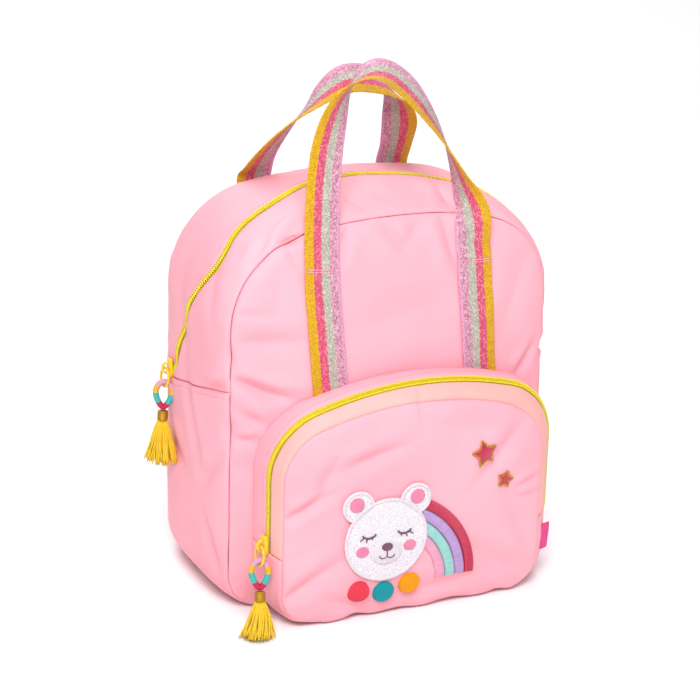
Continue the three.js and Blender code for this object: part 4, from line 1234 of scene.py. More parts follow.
def zipStitches(bm, trees, frameAt, pointAt, length, aside, trim):
    def spotAt(s):
        s += trim
        _, _, out = frameAt(s)
        return onCloth(trees, pointAt(s, -6, aside), -out)

    stitchRow(bm, length - 2 * trim, spotAt)


def baseSeamStitches(bm, side):
    trees = clothTrees(gussetBase)

    def spotAt(s):
        y = s - gussetEdge + 2
        distance = side * (seamAlong(y) - 3.4)
        x, z, nx, nz = body.place(distance)
        way = Vector((nx, 0, nz))
        return onCloth(trees, gusset(distance, y, -8), -way)

    stitchRow(bm, 2 * gussetEdge - 4, spotAt)


bm = bmesh.new()
besideZip = slotHalf + 2.6
zipStitches(bm, clothTrees(gussetFrontBand), mainZipFrame, onMainZip, mainZipLength, -besideZip, 3)
zipStitches(bm, clothTrees(gussetBackBand), mainZipFrame, onMainZip, mainZipLength, besideZip, 3)
zipStitches(bm, clothTrees(pocketBackBand), pocketZipFrame, onPocketZip, pocketLength, -besideZip, 3)
zipStitches(bm, clothTrees(pocketFrontBand), pocketZipFrame, onPocketZip, pocketLength, besideZip, 3)
baseSeamStitches(bm, -1)
baseSeamStitches(bm, 1)
finishPiece(bm, "seamStitches", paleStitch)

bm = bmesh.new()
seamRoll(bm, body, 2.5 - bodyShape["depth"] / 2, seamDents, 3.0)
seamRoll(bm, body, bodyShape["depth"] / 2 - 2.5, (), 0)
seamRoll(bm, pocketFace, 3.0 - bodyShape["depth"] / 2 - pocketShape["depth"], pocketDents, 31.0)
finishPiece(bm, "seamRolls", pinkPolyester)
print("seams stitched")


# Handles
handleShape = {
    "webbing": 25, "thick": 1.5, "spread": 55, "stitch": 243, "rise": 122, "lean": 28, "sewnStep": 7,
    "backSeam": 262, "backRise": 81, "backLean": 32, "tuck": 14, "restGap": 0.35, "clearTo": 285,
    "straightTo": 275, "steps": 150,
}
frontRoute = [
    (-1.05, 0, 0, -90), (-0.98, 0.24, 0.25, -91), (-0.91, 0.49, 0.47, -87), (-0.8, 0.71, 0.68, -80),
    (-0.62, 0.87, 0.86, -56), (-0.35, 0.97, 0.98, -10), (-0.04, 1, 1, 32), (0.28, 0.96, 0.9, 43),
    (0.57, 0.85, 0.73, 32), (0.79, 0.67, 0.54, 13), (0.94, 0.46, 0.34, -14), (1.01, 0.22, 0.15, -52),
    (0.98, 0, 0, -90),
]
backRoute = [
    (-0.98, 0, 0, -90), (-0.97, 0.03, 0.13, -90), (-0.95, 0.36, 0.3, -66), (-0.86, 0.65, 0.47, -49),
    (-0.69, 0.86, 0.64, -33), (-0.47, 0.98, 0.79, -13), (-0.24, 1, 0.92, 13), (0.03, 0.96, 1, 34),
    (0.34, 0.89, 0.98, 37), (0.62, 0.79, 0.89, 19), (0.81, 0.66, 0.74, -17), (0.9, 0.5, 0.54, -58),
    (0.94, 0.25, 0.32, -85), (0.94, 0.03, 0.13, -90), (0.94, 0, 0, -90),
]


# The free part of a handle: its middle and its way across, at even steps.
def freeWebbing(points, twists, steps):
    rows = []
    for k in range(steps + 1):
        t = k / steps
        tangent = (curveAt(points, t + 0.002) - curveAt(points, t - 0.002)).normalized()
        first = Vector((0, 1, 0))
        first = (first - tangent * first.dot(tangent)).normalized()
        second = tangent.cross(first)
        twist = math.radians(curveAt([Vector((a, 0, 0)) for a in twists], t).x)
        rows.append((curveAt(points, t), first * math.cos(twist) + second * math.sin(twist)))
    return rows


def webbingPiece(rows, name, nodes):
    half = handleShape["webbing"] / 2
    middles, ways = [row[0] for row in rows], [row[1] for row in rows]
    bm = bmesh.new()
    loft(bm, stationsAlong(middles, ways, half, handleShape["thick"] / 2), 24, power=5.0)
    finishPiece(bm, name, lurexWebbing, nodes)


# A sewn leg from the pocket up to its stitches, with its way across from left to right.
def sewnLeg(side):
    shape = handleShape
    low = pocketBack.top - shape["tuck"]
    rows = []
    for k in range(28):
        z = mix(low, shape["stitch"] - 2, k / 27)
        top = frontRoute[0][0] if side < 0 else frontRoute[-1][0]
        fall = (shape["stitch"] - z) / (shape["stitch"] - pocketBack.top)
        x = top * shape["spread"] + shape["sewnStep"] * fall
        rows.append((Vector((x, plainFront(x, z), z)), Vector((-side, 0, 0))))
    return rows


# Webbing rests on the cloth under it: each row is brought forward until its middle and both
# edges are clear, and then every row follows its neighbours, never going back in.
def clearOfCloth(rows):
    half = handleShape["webbing"] / 2
    rest = handleShape["thick"] / 2 + handleShape["restGap"]
    across = [way.normalized() * half for _, way in rows]
    lanes = []
    for share in (-1, 0, 1):
        lane = []
        for (middle, _), way in zip(rows, across):
            point = middle + way * share
            cloth = clothDepth(frontTrees, point.x, point.z)
            free = cloth is None or point.z > handleShape["clearTo"]
            lane.append(point.y if free else min(point.y, cloth - rest))
        lanes.append(lane)
    for lane in lanes:
        for _ in range(6):
            for k in range(2, len(lane) - 2):
                lane[k] = min(lane[k], sum(lane[k - 2 : k + 3]) / 5)
    sideways = [row[0].x for row in rows]
    for _ in range(10):
        for k in range(3, len(rows) - 3):
            if rows[k][0].z < handleShape["straightTo"]:
                sideways[k] = sum(sideways[k - 3 : k + 4]) / 7
    settled = []
    for k, (middle, _) in enumerate(rows):
        low, high = lanes[0][k], lanes[2][k]
        middle = Vector((sideways[k], min(lanes[1][k], (low + high) / 2), middle.z))
        own = Vector((across[k].x, (high - low) / 2, across[k].z))
        settled.append((middle, own.normalized()))
    return settled


# Stitches across a leg, on the front of its webbing.
def legStitches(bm, rows, height):
    middle, across = min(rows, key=lambda row: abs(row[0].z - height))
    half = handleShape["webbing"] / 2 - 1
    out = Vector((0, -1, 0))
    for drop in (0, 1.6):
        start = middle - across * half - Vector((0, 0, drop)) + out * (handleShape["thick"] / 2)
        stitchRow(bm, 2 * half, lambda s: (start + across * s, out), 2.8, 0.7)


def frontHandle():
    shape = handleShape
    low = plainFront(shape["spread"], shape["stitch"]) - 0.7 - shape["thick"] / 2
    points = [
        Vector((a * shape["spread"], low + b * shape["lean"], shape["stitch"] + c * shape["rise"]))
        for a, b, c, _ in frontRoute
    ]
    free = freeWebbing(points, [row[3] for row in frontRoute], handleShape["steps"])
    left, right = sewnLeg(-1), list(reversed(sewnLeg(1)))
    rows = clearOfCloth(left + free + right)
    webbingPiece(rows, "frontHandle", ["handle_front"])
    bm = bmesh.new()
    legStitches(bm, rows[: len(rows) // 2], shape["stitch"])
    legStitches(bm, rows[len(rows) // 2 :], shape["stitch"] - 6)
    finishPiece(bm, "handleStitches", paleStitch)


def backHandle():
    shape = handleShape
    rest = backFace(shape["spread"], shape["backSeam"]) + 0.5 + shape["thick"] / 2
    points = [
        Vector((a * shape["spread"], rest - b * shape["backLean"], shape["backSeam"] + c * shape["backRise"]))
        for a, b, c, _ in backRoute
    ]
    rows = freeWebbing(points, [row[3] for row in backRoute], handleShape["steps"])
    webbingPiece(rows, "backHandle", ["handle_back"])


frontHandle()
backHandle()
print("handles made")

# Zip pulls: slider, ring, wound cord loop, gold collar and a tassel.
pullShape = {
    "sliderLength": 14, "sliderWidth": 7.6, "sliderThick": 2.6, "sliderGap": 0.8, "bridgeRadius": 4.2,
    "bridgeWire": 1.6, "ringWire": 1.8, "ringWidth": 12.6, "ringLength": 15, "cord": 4.2, "loopWidth": 16,
    "loopLength": 22, "collarRadius": 3.8, "collarLength": 7.7, "spread": 12.5, "ringTurn": -82,
    "loopTurn": -22, "strands": 150, "yarn": 0.6, "gap": 0.3, "goldenAngle": 2.39996, "floorGap": 0.4,
}


def slider(name, node, place, out, down):
    side = out.cross(down).normalized()
    shape = pullShape
    bm = bmesh.new()
    made = bmesh.ops.create_cube(bm, size=1)["verts"]
    bmesh.ops.subdivide_edges(bm, edges=bm.edges[:], cuts=5, use_grid_fill=True)
    for vert in bm.verts:
        a, b, c = vert.co * 2
        taper = 1 - 0.32 * abs(b) ** 3
        waist = 1 - 0.14 * max(0, c)
        domed = 1 - 0.12 * (a * a + b * b) / 2
        vert.co = (
            place
            + side * (a * shape["sliderWidth"] / 2 * taper * waist)
            + down * (b * shape["sliderLength"] / 2)
            + out * (shape["sliderThick"] * (c + 1) / 2 * domed)
        )
    arc = []
    for k in range(15):
        angle = math.pi * k / 14
        arc.append(
            place
            + down * (shape["bridgeRadius"] * math.cos(angle))
            + out * (shape["bridgeRadius"] * 1.05 * math.sin(angle) + shape["sliderThick"] - 0.5)
        )
    loft(bm, stationsAlong(arc, side, 1.5, shape["bridgeWire"] / 2), 12, power=2.6)
    bmesh.ops.recalc_face_normals(bm, faces=bm.faces)
    finishPiece(bm, name, yellowEnamel, [node], [smoothOnce])


def ringPoints(centre, wide, hang, halfWide, halfLong, count, pinch=0.0):
    points = []
    for k in range(count + 1):
        angle = 2 * math.pi * k / count
        narrow = 1 - pinch * ease((1 + math.sin(angle - math.pi)) / 2 - 0.25)
        beside = wide * (halfWide * math.cos(angle) * narrow)
        points.append(centre + beside - hang * (halfLong * math.sin(angle)))
    return points


def level(degrees, hang):
    way = Vector((math.cos(math.radians(degrees)), math.sin(math.radians(degrees)), 0))
    return (way - hang * way.dot(hang)).normalized()


def pull(name, place, out, down, hang, skirtLength, seed, fan):
    shape = pullShape
    slider(f"{name}Slider", f"{name}_slider", place, out, down)
    bridge = place + out * (shape["sliderThick"] + shape["ringWire"] / 2 + 1)
    ringHalf = (shape["ringLength"] - shape["ringWire"]) / 2
    ringCentre = bridge + hang * ringHalf
    loopHalf = (shape["loopLength"] - shape["cord"]) / 2
    linked = (shape["ringWire"] + shape["cord"]) / 2 + shape["gap"]
    loopCentre = ringCentre + hang * (ringHalf - linked + loopHalf)
    collarTop = loopCentre + hang * (shape["loopLength"] / 2 + shape["gap"])
    skirtTop = collarTop + hang * (shape["collarLength"] + shape["gap"])

    wide = level(shape["ringTurn"], hang)
    points = ringPoints(ringCentre, wide, hang, (shape["ringWidth"] - shape["ringWire"]) / 2, ringHalf, 56)
    bm = bmesh.new()
    wire = shape["ringWire"] / 2
    loft(bm, stationsAlong(points, wide.cross(hang), wire, wire, True), 12, ring=True)
    finishPiece(bm, f"{name}PullRing", yellowEnamel, [f"{name}_pull_ring"])

    wide = level(shape["loopTurn"], hang)
    points = ringPoints(loopCentre, wide, hang, (shape["loopWidth"] - shape["cord"]) / 2, loopHalf, 72, 0.45)
    quarter = len(points) // 4
    points = points[quarter:-1] + points[: quarter + 1]
    bm = bmesh.new()
    cord = shape["cord"] / 2
    loft(bm, stationsAlong(points, wide.cross(hang), cord, cord, True), 18, ring=True)
    finishPiece(bm, f"{name}TasselLoop", woundCord, [f"{name}_tassel_loop"])

    deep = hang.cross(wide)
    barrel = [
        (0.0, 0.3), (0.0, 0.8), (0.08, 0.97), (0.3, 1.0), (0.5, 0.96), (0.7, 1.0), (0.92, 0.97), (1.0, 0.8),
        (1.0, 0.3),
    ]
    points = [collarTop + hang * (a * shape["collarLength"]) for a, _ in barrel]
    radii = [r * shape["collarRadius"] for _, r in barrel]
    stations = [
        (point, wide, deep, r, r, a * shape["collarLength"]) for point, r, (a, _) in zip(points, radii, barrel)
    ]
    bm = bmesh.new()
    loft(bm, stations, 28)
    finishPiece(bm, f"{name}TasselCollar", goldThread, [f"{name}_tassel_collar"], [smoothOnce])

    dice = random.Random(seed)
    bm = bmesh.new()
    for k in range(shape["strands"]):
        ring = math.sqrt((k + 0.5) / shape["strands"])
        angle = k * shape["goldenAngle"] + dice.uniform(-0.2, 0.2)
        length = skirtLength * dice.uniform(0.9, 1.06)
        reach = ring * shape["spread"] * dice.uniform(0.85, 1.05)
        curl = dice.uniform(-1.2, 1.2)
        points = []
        for step in range(10):
            fall = step / 9
            start = ring * shape["collarRadius"] * 0.8
            r = start + (reach - start) * fall**0.8
            turn = angle + 0.12 * curl * fall
            point = skirtTop - hang * 0.8 + hang * (length * (fall - 0.12 * ring * fall * fall))
            point += wide * (r * math.cos(turn) + fan[0] * fall * fall) + deep * (r * 0.8 * math.sin(turn))
            point += wide * (0.5 * curl * math.sin(4 * fall))
            point += Vector((0, fan[1] * fall * fall, 0))
            point.z = max(point.z, shape["floorGap"] + 0.3 * dice.random())
            points.append(point)
        radius = shape["yarn"] * dice.uniform(0.85, 1.1)
        tips = [radius] * 9 + [radius * 0.6]
        loft(bm, stationsAlong(points, wide, tips, tips), 6)
    finishPiece(bm, f"{name}TasselSkirt", tasselYarn, [f"{name}_tassel_skirt"])


def mainPull():
    distance = -body.along(147)
    run = (abs(distance) - seamAlong(0)) / (body.half - seamAlong(0))
    lift = -0.6 - pullShape["sliderGap"]
    here = gusset(distance, zipDepth(run), lift)
    lower = gusset(-mix(seamAlong(0), body.half, run - 0.02), zipDepth(run - 0.02), lift)
    down = lower - here
    down.x = 0
    hang = Vector((-7, -8, -72)).normalized()
    pull("main", here, Vector((-1, 0, 0)), down.normalized(), hang, 32, 5, (1.0, -1.0))


def pocketPull():
    run = -pocketBack.along(62) / pocketBack.half
    here = pocketSide(run, pocketShape["zipShare"], -0.6 - pullShape["sliderGap"])
    across = pocketSide(run, 1, 0) - pocketSide(run, 0, 0)
    across.z = 0
    across.normalize()
    hang = Vector((-7, -20, -63)).normalized()
    pull("pocket", here, Vector((across.y, -across.x, 0)), Vector((0, 0, -1)), hang, 26.5, 9, (-2.0, 0.0))


mainPull()
pocketPull()
print("pulls made")

# The side tab: tape folded in two, its ends in the pocket's seam.
tabShape = {"width": 8, "share": 0.86, "height": 19, "bottom": 25, "wall": 0.4}


def sideTab():
    def place(u, v):
        z = tabShape["bottom"] + (v + 1) / 2 * tabShape["height"]
        root = pocketSide(pocketBack.along(z) / pocketBack.half, tabShape["share"], 0.6)
        out = 1 - abs(u)
        back = math.copysign(0.55 * min(1, abs(u) * 6), u)
        reach = tabShape["width"] * out
        spot = ((u + 1) * tabShape["width"], z)
        return Vector((root.x + reach, root.y + 0.6 + back + 0.03 * reach * reach, z)), spot

    bm = bmesh.new()
    bentGrid(bm, 40, 12, place)
    finishPiece(
        bm, "pocketSideTab", tabTape, ["pocket_side_tab"],
        [wallOf(tabShape["wall"], 0.0)],
    )


sideTab()

# Shoulder straps, with slides and tails.
strapShape = {
    "width": 40, "thick": 6, "topHeight": 232, "topSide": 30, "endHeight": 96, "endSide": 62, "bow": 18,
    "tail": 20, "tailThick": 1.2, "tailSide": 90, "tailHeight": 22, "slideBar": 3.4, "slideHeight": 24,
    "slideThick": 3, "slideLift": 2.3, "steps": 60, "endNarrow": 0.72, "endThin": 0.5, "square": 3.2,
    "bindInset": 0.9, "stitchInset": 4.6, "gap": 0.5,
}


def strapMiddle(side, share):
    shape = strapShape
    x = side * mix(shape["topSide"], shape["endSide"], share**1.4)
    z = mix(shape["topHeight"], shape["endHeight"], share)
    bow = shape["bow"] * math.sin(math.pi * share**0.8) ** 0.9
    return Vector((x, backFace(x, z) + shape["gap"] + bow + 2.5 * share, z))


def shoulderStrap(side, label):
    shape = strapShape
    stations = []
    along = 0.0
    last = None
    for k in range(shape["steps"] + 1):
        v = k / shape["steps"]
        middle = strapMiddle(side, v)
        way = strapMiddle(side, min(1, v + 0.01)) - strapMiddle(side, max(0, v - 0.01))
        way.normalize()
        flatWay = Vector((way.x, 0, way.z)).normalized()
        across = Vector((flatWay.z, 0, -flatWay.x))
        end = min(1, v / 0.04, (1 - v) / 0.06)
        width = shape["width"] * mix(shape["endNarrow"], 1, ease(end))
        pad = shape["thick"] * mix(shape["endThin"], 1, ease(end))
        out = across.cross(way).normalized()
        if out.y < 0:
            out = -out
        if last is not None:
            along += (middle - last).length
        last = middle
        stations.append((middle + out * (pad / 2), across, out, width / 2, pad / 2, along))
    bm = bmesh.new()
    loft(bm, stations, 32, power=shape["square"])
    node = f"shoulder_strap_{label.lower()}"
    piece = finishPiece(bm, f"shoulderStrap{label}", pinkPolyester, [node], [smoothOnce])

    # A tape bound round the strap's edge, and a row of stitches beside it.
    edge, ways, high = [], [], []
    for sideways, run in ((1, stations), (-1, stations[::-1])):
        for middle, across, out, half, pad, _ in run:
            edge.append(middle + across * (sideways * (half - shape["bindInset"])))
            ways.append(out)
            high.append(pad * 0.98 + 0.3)
    edge.append(edge[0])
    bm = bmesh.new()
    loft(bm, stationsAlong(edge, ways + ways[:1], high + high[:1], 1.5, True), 12, power=2.6, ring=True)
    finishPiece(bm, f"strapBinding{label}", plainWebbing)

    trees = clothTrees(piece)
    bm = bmesh.new()
    for sideways in (-1, 1):
        def spotAt(s):
            at = clamp(s / along, 0, 0.9999) * shape["steps"]
            k = int(at)
            middle, across, out, half, _, _ = stations[k]
            middle = middle.lerp(stations[k + 1][0], at - k)
            beside = across * (sideways * (half - shape["stitchInset"]))
            return onCloth(trees, middle + beside + out * 12, -out)

        stitchRow(bm, along, spotAt)
    finishPiece(bm, f"strapStitches{label}", paleStitch)
    return piece


def tailFrame(side):
    shape = strapShape
    start = Vector((side * shape["endSide"], 0, shape["endHeight"]))
    down = Vector((side * shape["tailSide"], 0, shape["tailHeight"])) - start
    length = down.length
    down.normalize()
    return start, down, length, Vector((-down.z, 0, down.x))


def strapTail(side, label):
    shape = strapShape
    start, down, length, across = tailFrame(side)
    bar = shape["slideBar"]
    slot = (shape["slideHeight"] - 3 * bar) / 2
    overBar = shape["slideThick"] + shape["slideLift"] + 0.6
    rows = [
        (0.5 + bar + slot * 0.5, 0), (0.5 + bar + slot * 0.72, overBar * 0.8),
        (0.5 + bar + slot + bar / 2, overBar),
        (0.5 + 2 * bar + slot * 1.28, overBar * 0.8), (0.5 + 2 * bar + slot * 1.5, 0),
        (shape["slideHeight"] + 4, 0), (mix(shape["slideHeight"], length, 0.5), 0), (length, 0),
    ]
    path = [Vector((along, lift, 0)) for along, lift in rows]
    points = []
    for k in range(91):
        spot = curveAt(path, k / 90)
        point = start + down * spot.x
        point.y = backFace(point.x, point.z) + shape["gap"] + max(0, spot.y) + shape["tailThick"] / 2
        points.append(point)
    bm = bmesh.new()
    loft(bm, stationsAlong(points, across, shape["tail"] / 2, shape["tailThick"] / 2), 20, power=5.0)
    return finishPiece(bm, f"strapTail{label}", plainWebbing, [f"strap_tail_{label.lower()}"])


# The slide keeps the solid's outline, with its edges rounded as moulding leaves them.
def strapSlide(label):
    node = f"strap_slide_{label.lower()}"
    bm = bmesh.new()
    bm.from_mesh(frame["nodes"][node].data)
    bmesh.ops.remove_doubles(bm, verts=bm.verts, dist=1e-5)
    bmesh.ops.dissolve_limit(bm, angle_limit=0.05, verts=bm.verts, edges=bm.edges)
    sharp = [edge for edge in bm.edges if edge.is_manifold and edge.calc_face_angle() > 0.5]
    bmesh.ops.bevel(
        bm, geom=sharp, offset=0.7 * metres, offset_type="OFFSET", segments=3, profile=0.5,
        affect="EDGES", material=-1,
    )
    bmesh.ops.scale(bm, vec=(1 / metres, 1 / metres, 1 / metres), verts=bm.verts)
    finishPiece(bm, f"strapSlide{label}", pinkAcetal, [node])


# A flap of cloth sewn over something on the back, with a row of stitches round it. It lies
# on whatever is under it. down is the way it runs, and size its length and width.
flapShape = {"gap": 0.9, "puff": 0.9, "round": 2.2, "stitchInset": 2.2, "wall": 0.9}


def sewnFlap(name, middle, down, size, pieces, material):
    trees = clothTrees(*pieces)
    long, wide = size[0] / 2, size[1] / 2
    across = Vector((-down.z, 0, down.x))

    def under(x, z):
        inward = Vector((0, -1, 0))
        near = [meet(trees, Vector((x + dx, 400, z)), inward) for dx in (-5, -2.5, 0, 2.5, 5)]
        heights = [hit.y for hit in near if hit]
        return (max(heights) + sum(heights) / len(heights)) / 2 if heights else backFace(x, z)

    def place(u, v):
        spot = middle + down * (v * long) + across * (u * wide)
        edge = min((1 - abs(u)) * wide, (1 - abs(v)) * long)
        puffed = flapShape["puff"] * min(1, edge / flapShape["round"]) ** 0.6
        y = under(spot.x, spot.z) + flapShape["gap"] + puffed
        return Vector((spot.x, y, spot.z)), (u * wide, v * long)

    bm = bmesh.new()
    bentGrid(bm, max(8, round(wide * 0.9)), max(8, round(long * 0.9)), place)
    bmesh.ops.recalc_face_normals(bm, faces=bm.faces)
    if sum(face.normal.y for face in bm.faces) < 0:
        bmesh.ops.reverse_faces(bm, faces=bm.faces)
    flap = finishPiece(bm, name, material, (), [wallOf(flapShape["wall"])])

    flapTrees = clothTrees(flap)
    bm = bmesh.new()
    for u0, v0, u1, v1 in ((-1, -1, 1, -1), (1, -1, 1, 1), (1, 1, -1, 1), (-1, 1, -1, -1)):
        halfLong, halfWide = long - flapShape["stitchInset"], wide - flapShape["stitchInset"]
        start = middle + down * (v0 * halfLong) + across * (u0 * halfWide) + Vector((0, 200, 0))
        end = middle + down * (v1 * halfLong) + across * (u1 * halfWide) + Vector((0, 200, 0))
        way = (end - start).normalized()
        stitchRow(bm, (end - start).length, lambda s: onCloth(flapTrees, start + way * s, Vector((0, -1, 0))))
    finishPiece(bm, f"{name}Stitches", paleStitch)


straps = []
for label, side in (("Left", -1), ("Right", 1)):
    straps.append(shoulderStrap(side, label))
    tail = strapTail(side, label)
    strapSlide(label)
    _, down, _, _ = tailFrame(side)
    foot = Vector((side * strapShape["tailSide"], 0, strapShape["tailHeight"])) + down * -3
    sewnFlap(f"strapTab{label}", foot, down, (16, 28), [backPanel, tail], pinkPolyester)
sewnFlap(
    "strapFlap", Vector((0, 0, strapShape["topHeight"] - 3)), Vector((0, 0, -1)), (24, 114),
    [backPanel, *straps], pinkPolyester,
)
print("straps made")

# Patch on the pocket: a bear's head with a quarter rainbow rising behind it.
patchShape = {
    "thick": 1.3, "gap": 0.15, "headRadius": 30, "across": -22, "height": 60, "earRadius": 11,
    "earSpread": 21, "earRise": 27, "bandHeight": 24, "bandInner": 38, "bandWidth": 7.6, "bandTurn": 63,
    "disc": 8, "discThick": 2.6,
}


def pocketCrown(x, z):
    return -bodyShape["depth"] / 2 - pocketShape["depth"] - crown(pocketShape["dome"], pocketFace.share(x, z))


# Patches are stiffer than the cloth: they take a little of its unevenness.
def layAt(x, z):
    smoothed = pocketCrown(x, z)
    return min(clothDepth(pocketTrees, x, z, smoothed), smoothed)


def squareAngle(a, b):
    if abs(a) >= abs(b):
        return math.radians(45 * b / a + (0 if a > 0 else 180))
    return math.radians((90 if b > 0 else 270) - 45 * a / b)


# A patch's rim runs back to the cloth, and a flat back closes it.
def closeRim(bm, rim):
    wall = bmesh.ops.extrude_edge_only(bm, edges=rim)["geom"]
    low = [vert for vert in wall if isinstance(vert, bmesh.types.BMVert)]
    bmesh.ops.translate(bm, vec=(0, patchShape["gap"], 0), verts=low)
    bmesh.ops.holes_fill(bm, edges=[edge for edge in wall if isinstance(edge, bmesh.types.BMEdge)], sides=0)


# A patch whose outline is a radius at each angle round a middle, with rounded edges.
def layPatch(bm, middle, radiusAt, thick, lift=0.0, rings=22, dome=0.0, roundness=0.8):
    def place(u, v):
        ring = max(abs(u), abs(v))
        if ring < 1e-6:
            x, z, edge, share = middle[0], middle[1], 99, 0
        else:
            angle = squareAngle(u / ring, v / ring)
            radius = radiusAt(angle)
            edge = edgeRing(1 - ring, rings, radius)
            x = middle[0] + (radius - edge) * math.cos(angle)
            z = middle[1] + (radius - edge) * math.sin(angle)
            share = (radius - edge) / radius
        over = clamp(edge / roundness)
        rise = thick * math.sqrt(1 - (1 - over) ** 2) + dome * (1 - share**2)
        return Vector((x, layAt(x, z) - patchShape["gap"] - lift - rise, z)), (x, z)

    made = bentGrid(bm, 2 * rings, 2 * rings, place)
    closeRim(bm, list({edge for vert in made for edge in vert.link_edges if edge.is_boundary}))


# A rope of satin stitches along an outline, half sunk in what it edges.
def satinRope(bm, outline, lift, half, ring=True, height=None):
    points = [Vector((x, layAt(x, z) - patchShape["gap"] - lift, z)) for x, z in outline]
    high = height or half * 0.75
    loft(bm, stationsAlong(points, Vector((0, 1, 0)), high, half, ring), 10, ring=ring)


head = (patchShape["across"], patchShape["height"])
ears = [(head[0] + side * patchShape["earSpread"], head[1] + patchShape["earRise"]) for side in (-1, 1)]


# Whether a spot is on the head or an ear, or nearer to one than a distance.
def onHead(x, z, near=0.0):
    if math.hypot(x - head[0], z - head[1]) < patchShape["headRadius"] + near:
        return True
    return any(math.hypot(x - ear[0], z - ear[1]) < patchShape["earRadius"] + near for ear in ears)


def aroundOutline(middle, radiusAt, count):
    spots = []
    for k in range(count + 1):
        angle = 2 * math.pi * (k % count) / count
        radius = radiusAt(angle)
        spots.append((middle[0] + radius * math.cos(angle), middle[1] + radius * math.sin(angle)))
    return spots


def oval(wide, high):
    return lambda angle: wide * high / math.hypot(high * math.cos(angle), wide * math.sin(angle))


# The ears lie under the head's edge.
bm = bmesh.new()
for ear in ears:
    rounded = oval(patchShape["earRadius"], patchShape["earRadius"])
    layPatch(bm, ear, rounded, patchShape["thick"] - 0.4, rings=16)
layPatch(bm, head, oval(patchShape["headRadius"], patchShape["headRadius"]), patchShape["thick"], rings=30)
finishPiece(bm, "bearHead", pearlGlitter, ["patch_head"])

bm = bmesh.new()
for ear in ears:
    outline = aroundOutline(ear, oval(patchShape["earRadius"] - 0.6, patchShape["earRadius"] - 0.6), 90)
    k = next(k for k, spot in enumerate(outline) if math.dist(spot, head) < patchShape["headRadius"])
    outline = outline[k:-1] + outline[: k + 1]
    outside = [spot for spot in outline if math.dist(spot, head) > patchShape["headRadius"] - 1.5]
    satinRope(bm, outside, patchShape["thick"] * 0.7, 1.2, ring=False)
headEdge = oval(patchShape["headRadius"] - 0.6, patchShape["headRadius"] - 0.6)
satinRope(bm, aroundOutline(head, headEdge, 200), patchShape["thick"] * 0.8, 1.25)
finishPiece(bm, "bearHeadEdge", whiteStitch)


# The face is a plain embroidered one: inner ears, cheeks, muzzle, nose, mouth, shut eyes.
def bearFace():
    shape = patchShape
    top = shape["thick"]
    bm = bmesh.new()
    for side in (-1, 1):
        ear = (head[0] + side * (shape["earSpread"] + 1.2), head[1] + shape["earRise"] + 1.6)
        layPatch(bm, ear, oval(5.4, 5.4), 0.7, lift=top - 0.4, rings=10)
        cheek = (head[0] + side * 17.5, head[1] - 6.5)
        layPatch(bm, cheek, oval(4.8, 4.0), 0.7, lift=top, rings=10)
    finishPiece(bm, "bearCheeksAndEars", blushStitch)

    bm = bmesh.new()
    layPatch(bm, (head[0], head[1] - 9), oval(11.5, 8.8), 1.0, lift=top, rings=14, dome=0.6)
    finishPiece(bm, "bearMuzzle", whiteStitch)

    bm = bmesh.new()
    layPatch(bm, (head[0], head[1] - 4.5), oval(4.2, 3.0), 0.9, lift=top + 1.3, rings=8, dome=0.4)
    satinRope(bm, [(head[0], head[1] - 6.5 - k * 0.8) for k in range(6)], top + 1.5, 0.55, ring=False)
    for side in (-1, 1):
        mouth = []
        for k in range(13):
            angle = math.pi * k / 12
            aside = side * 3.2 * (1 - math.cos(angle)) * 0.85
            mouth.append((head[0] + aside, head[1] - 10.5 - 2.4 * math.sin(angle)))
        satinRope(bm, mouth, top + 1.3, 0.55, ring=False)
        eye = []
        for k in range(17):
            angle = math.pi * (0.08 + 0.84 * k / 16)
            eye.append((head[0] + side * 13 + 5.0 * math.cos(angle), head[1] + 6.5 - 3.4 * math.sin(angle)))
        satinRope(bm, eye, top + 0.2, 0.75, ring=False)
        for spread in (-0.7, 0.0, 0.7):
            root = (
                head[0] + side * 13 + side * 1.2 + 4.4 * math.sin(spread),
                head[1] + 6.2 - 3.1 * math.cos(spread),
            )
            tip = (root[0] + side * 0.8 + 2.6 * math.sin(spread), root[1] - 2.6 * math.cos(spread))
            lash = [(mix(root[0], tip[0], k / 4), mix(root[1], tip[1], k / 4)) for k in range(5)]
            satinRope(bm, lash, top + 0.15, 0.5, ring=False)
    finishPiece(bm, "bearFaceStitches", plumStitch)


bearFace()


# How far round a band may run before it meets the head or an ear.
def bandEnd(radius):
    shape = patchShape
    turn = shape["bandTurn"]
    while turn > 5:
        angle = math.radians(turn)
        x = shape["across"] + radius * math.cos(angle)
        z = shape["bandHeight"] + radius * math.sin(angle)
        if not onHead(x, z, 0.5):
            return turn
        turn -= 0.25
    return turn


def rainbowBand(number):
    shape = patchShape
    inner = shape["bandInner"] + number * shape["bandWidth"] + 0.15
    width = shape["bandWidth"] - 0.3

    def place(u, v):
        w = rowPlace((v + 1) / 2, 14, width)
        radius = inner + w
        end = bandEnd(radius)
        length = math.radians(end) * radius
        along = rowPlace((u + 1) / 2, 70, length)
        angle = along / radius
        edge = min(w, width - w, along, length - along)
        x = shape["across"] + radius * math.cos(angle)
        z = shape["bandHeight"] + radius * math.sin(angle)
        rise = shape["thick"] * math.sqrt(1 - (1 - clamp(edge / 1.1)) ** 2)
        rise += 0.35 * math.sin(math.pi * w / width)
        return Vector((x, layAt(x, z) - shape["gap"] - rise, z)), (angle * (inner + width / 2), w)

    bm = bmesh.new()
    bentGrid(bm, 70, 14, place, flipped=True)
    closeRim(bm, [edge for edge in bm.edges if edge.is_boundary])
    bmesh.ops.recalc_face_normals(bm, faces=bm.faces)
    finishPiece(
        bm, f"rainbowBand{number + 1}", bandThreads[number], [f"patch_band_{number + 1}"]
    )


for number in range(4):
    rainbowBand(number)

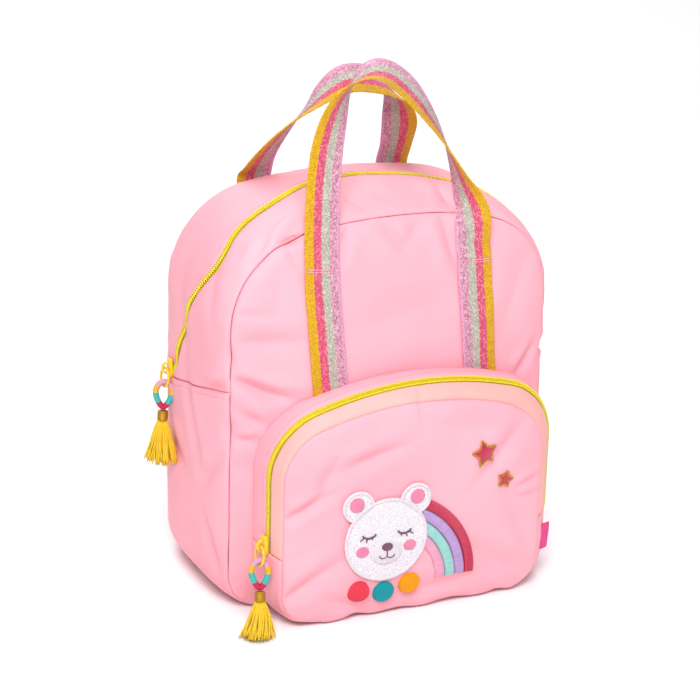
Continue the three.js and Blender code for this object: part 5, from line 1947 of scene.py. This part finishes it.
for colour, across, drop in (("coral", -19, 36.5), ("teal", 0, 40), ("yellow", 19, 36.5)):
    bm = bmesh.new()
    layPatch(
        bm, (head[0] + across, head[1] - drop), oval(patchShape["disc"], patchShape["disc"]),
        patchShape["discThick"], rings=18, roundness=1.2,
    )
    finishPiece(bm, f"{colour}FeltDisc", felts[colour], [f"felt_disc_{colour}"])


def starRadius(radius, turn):
    inner = radius * 0.55
    fifth, tenth = math.radians(72), math.radians(36)

    def at(angle):
        spread = (math.pi / 2 - math.radians(turn) - angle) % fifth
        spread = min(spread, fifth - spread)
        return radius * inner * math.sin(tenth) / (
            radius * math.sin(spread) + inner * math.sin(tenth - spread)
        )

    return at


for name, across, height, radius, turn in (("Large", 50, 112, 9.5, -12), ("Small", 67, 90, 6.5, 16)):
    bm = bmesh.new()
    layPatch(bm, (across, height), starRadius(radius, turn), 1.2, rings=14, dome=0.3)
    finishPiece(bm, f"star{name}", bandThreads[3], [f"star_{name.lower()}"])
    bm = bmesh.new()
    satinRope(bm, aroundOutline((across, height), starRadius(radius - 0.3, turn), 120), 0.9, 0.75)
    finishPiece(bm, f"star{name}Edge", goldThread)
print("patch made")


# Stage
def stageFloor():
    bm = bmesh.new()
    bmesh.ops.create_grid(bm, x_segments=8, y_segments=8, size=6)
    mesh = bpy.data.meshes.new("floor")
    bm.to_mesh(mesh)
    bm.free()
    material, _, _ = newMaterial(
        "paintedFloor", {"Base Color": hexColour("#f8f7f7"), "Roughness": 0.8, "Specular IOR Level": 0.1}
    )
    mesh.materials.append(material)
    floor = bpy.data.objects.new("floor", mesh)
    bpy.context.scene.collection.objects.link(floor)


lights = [
    ("key", (-0.5, -1.0, 1.25), 0.7, 23),
    ("fill", (1.9, -1.6, 1.0), 1.8, 5),
    ("overhead", (0.0, 0.7, 3.0), 2.6, 34),
    ("behind", (0.4, 2.2, 1.6), 1.8, 24),
]


def softbox(name, stand, size, power):
    data = bpy.data.lights.new(name, "AREA")
    data.size, data.energy = size, power
    light = bpy.data.objects.new(name, data)
    light.location = stand
    light.rotation_euler = (Vector((0, 0, 0.14)) - Vector(stand)).to_track_quat("-Z", "Y").to_euler()
    bpy.context.scene.collection.objects.link(light)


stageFloor()
for light in lights:
    softbox(*light)
world = bpy.data.worlds.new("studio")
world.use_nodes = True
world.node_tree.nodes["Background"].inputs["Color"].default_value = hexColour("#fbfafb")
world.node_tree.nodes["Background"].inputs["Strength"].default_value = 0.39
bpy.context.scene.world = world
bpy.context.scene.view_settings.view_transform = "Standard"
print("stage set")

bpy.context.view_layer.update()
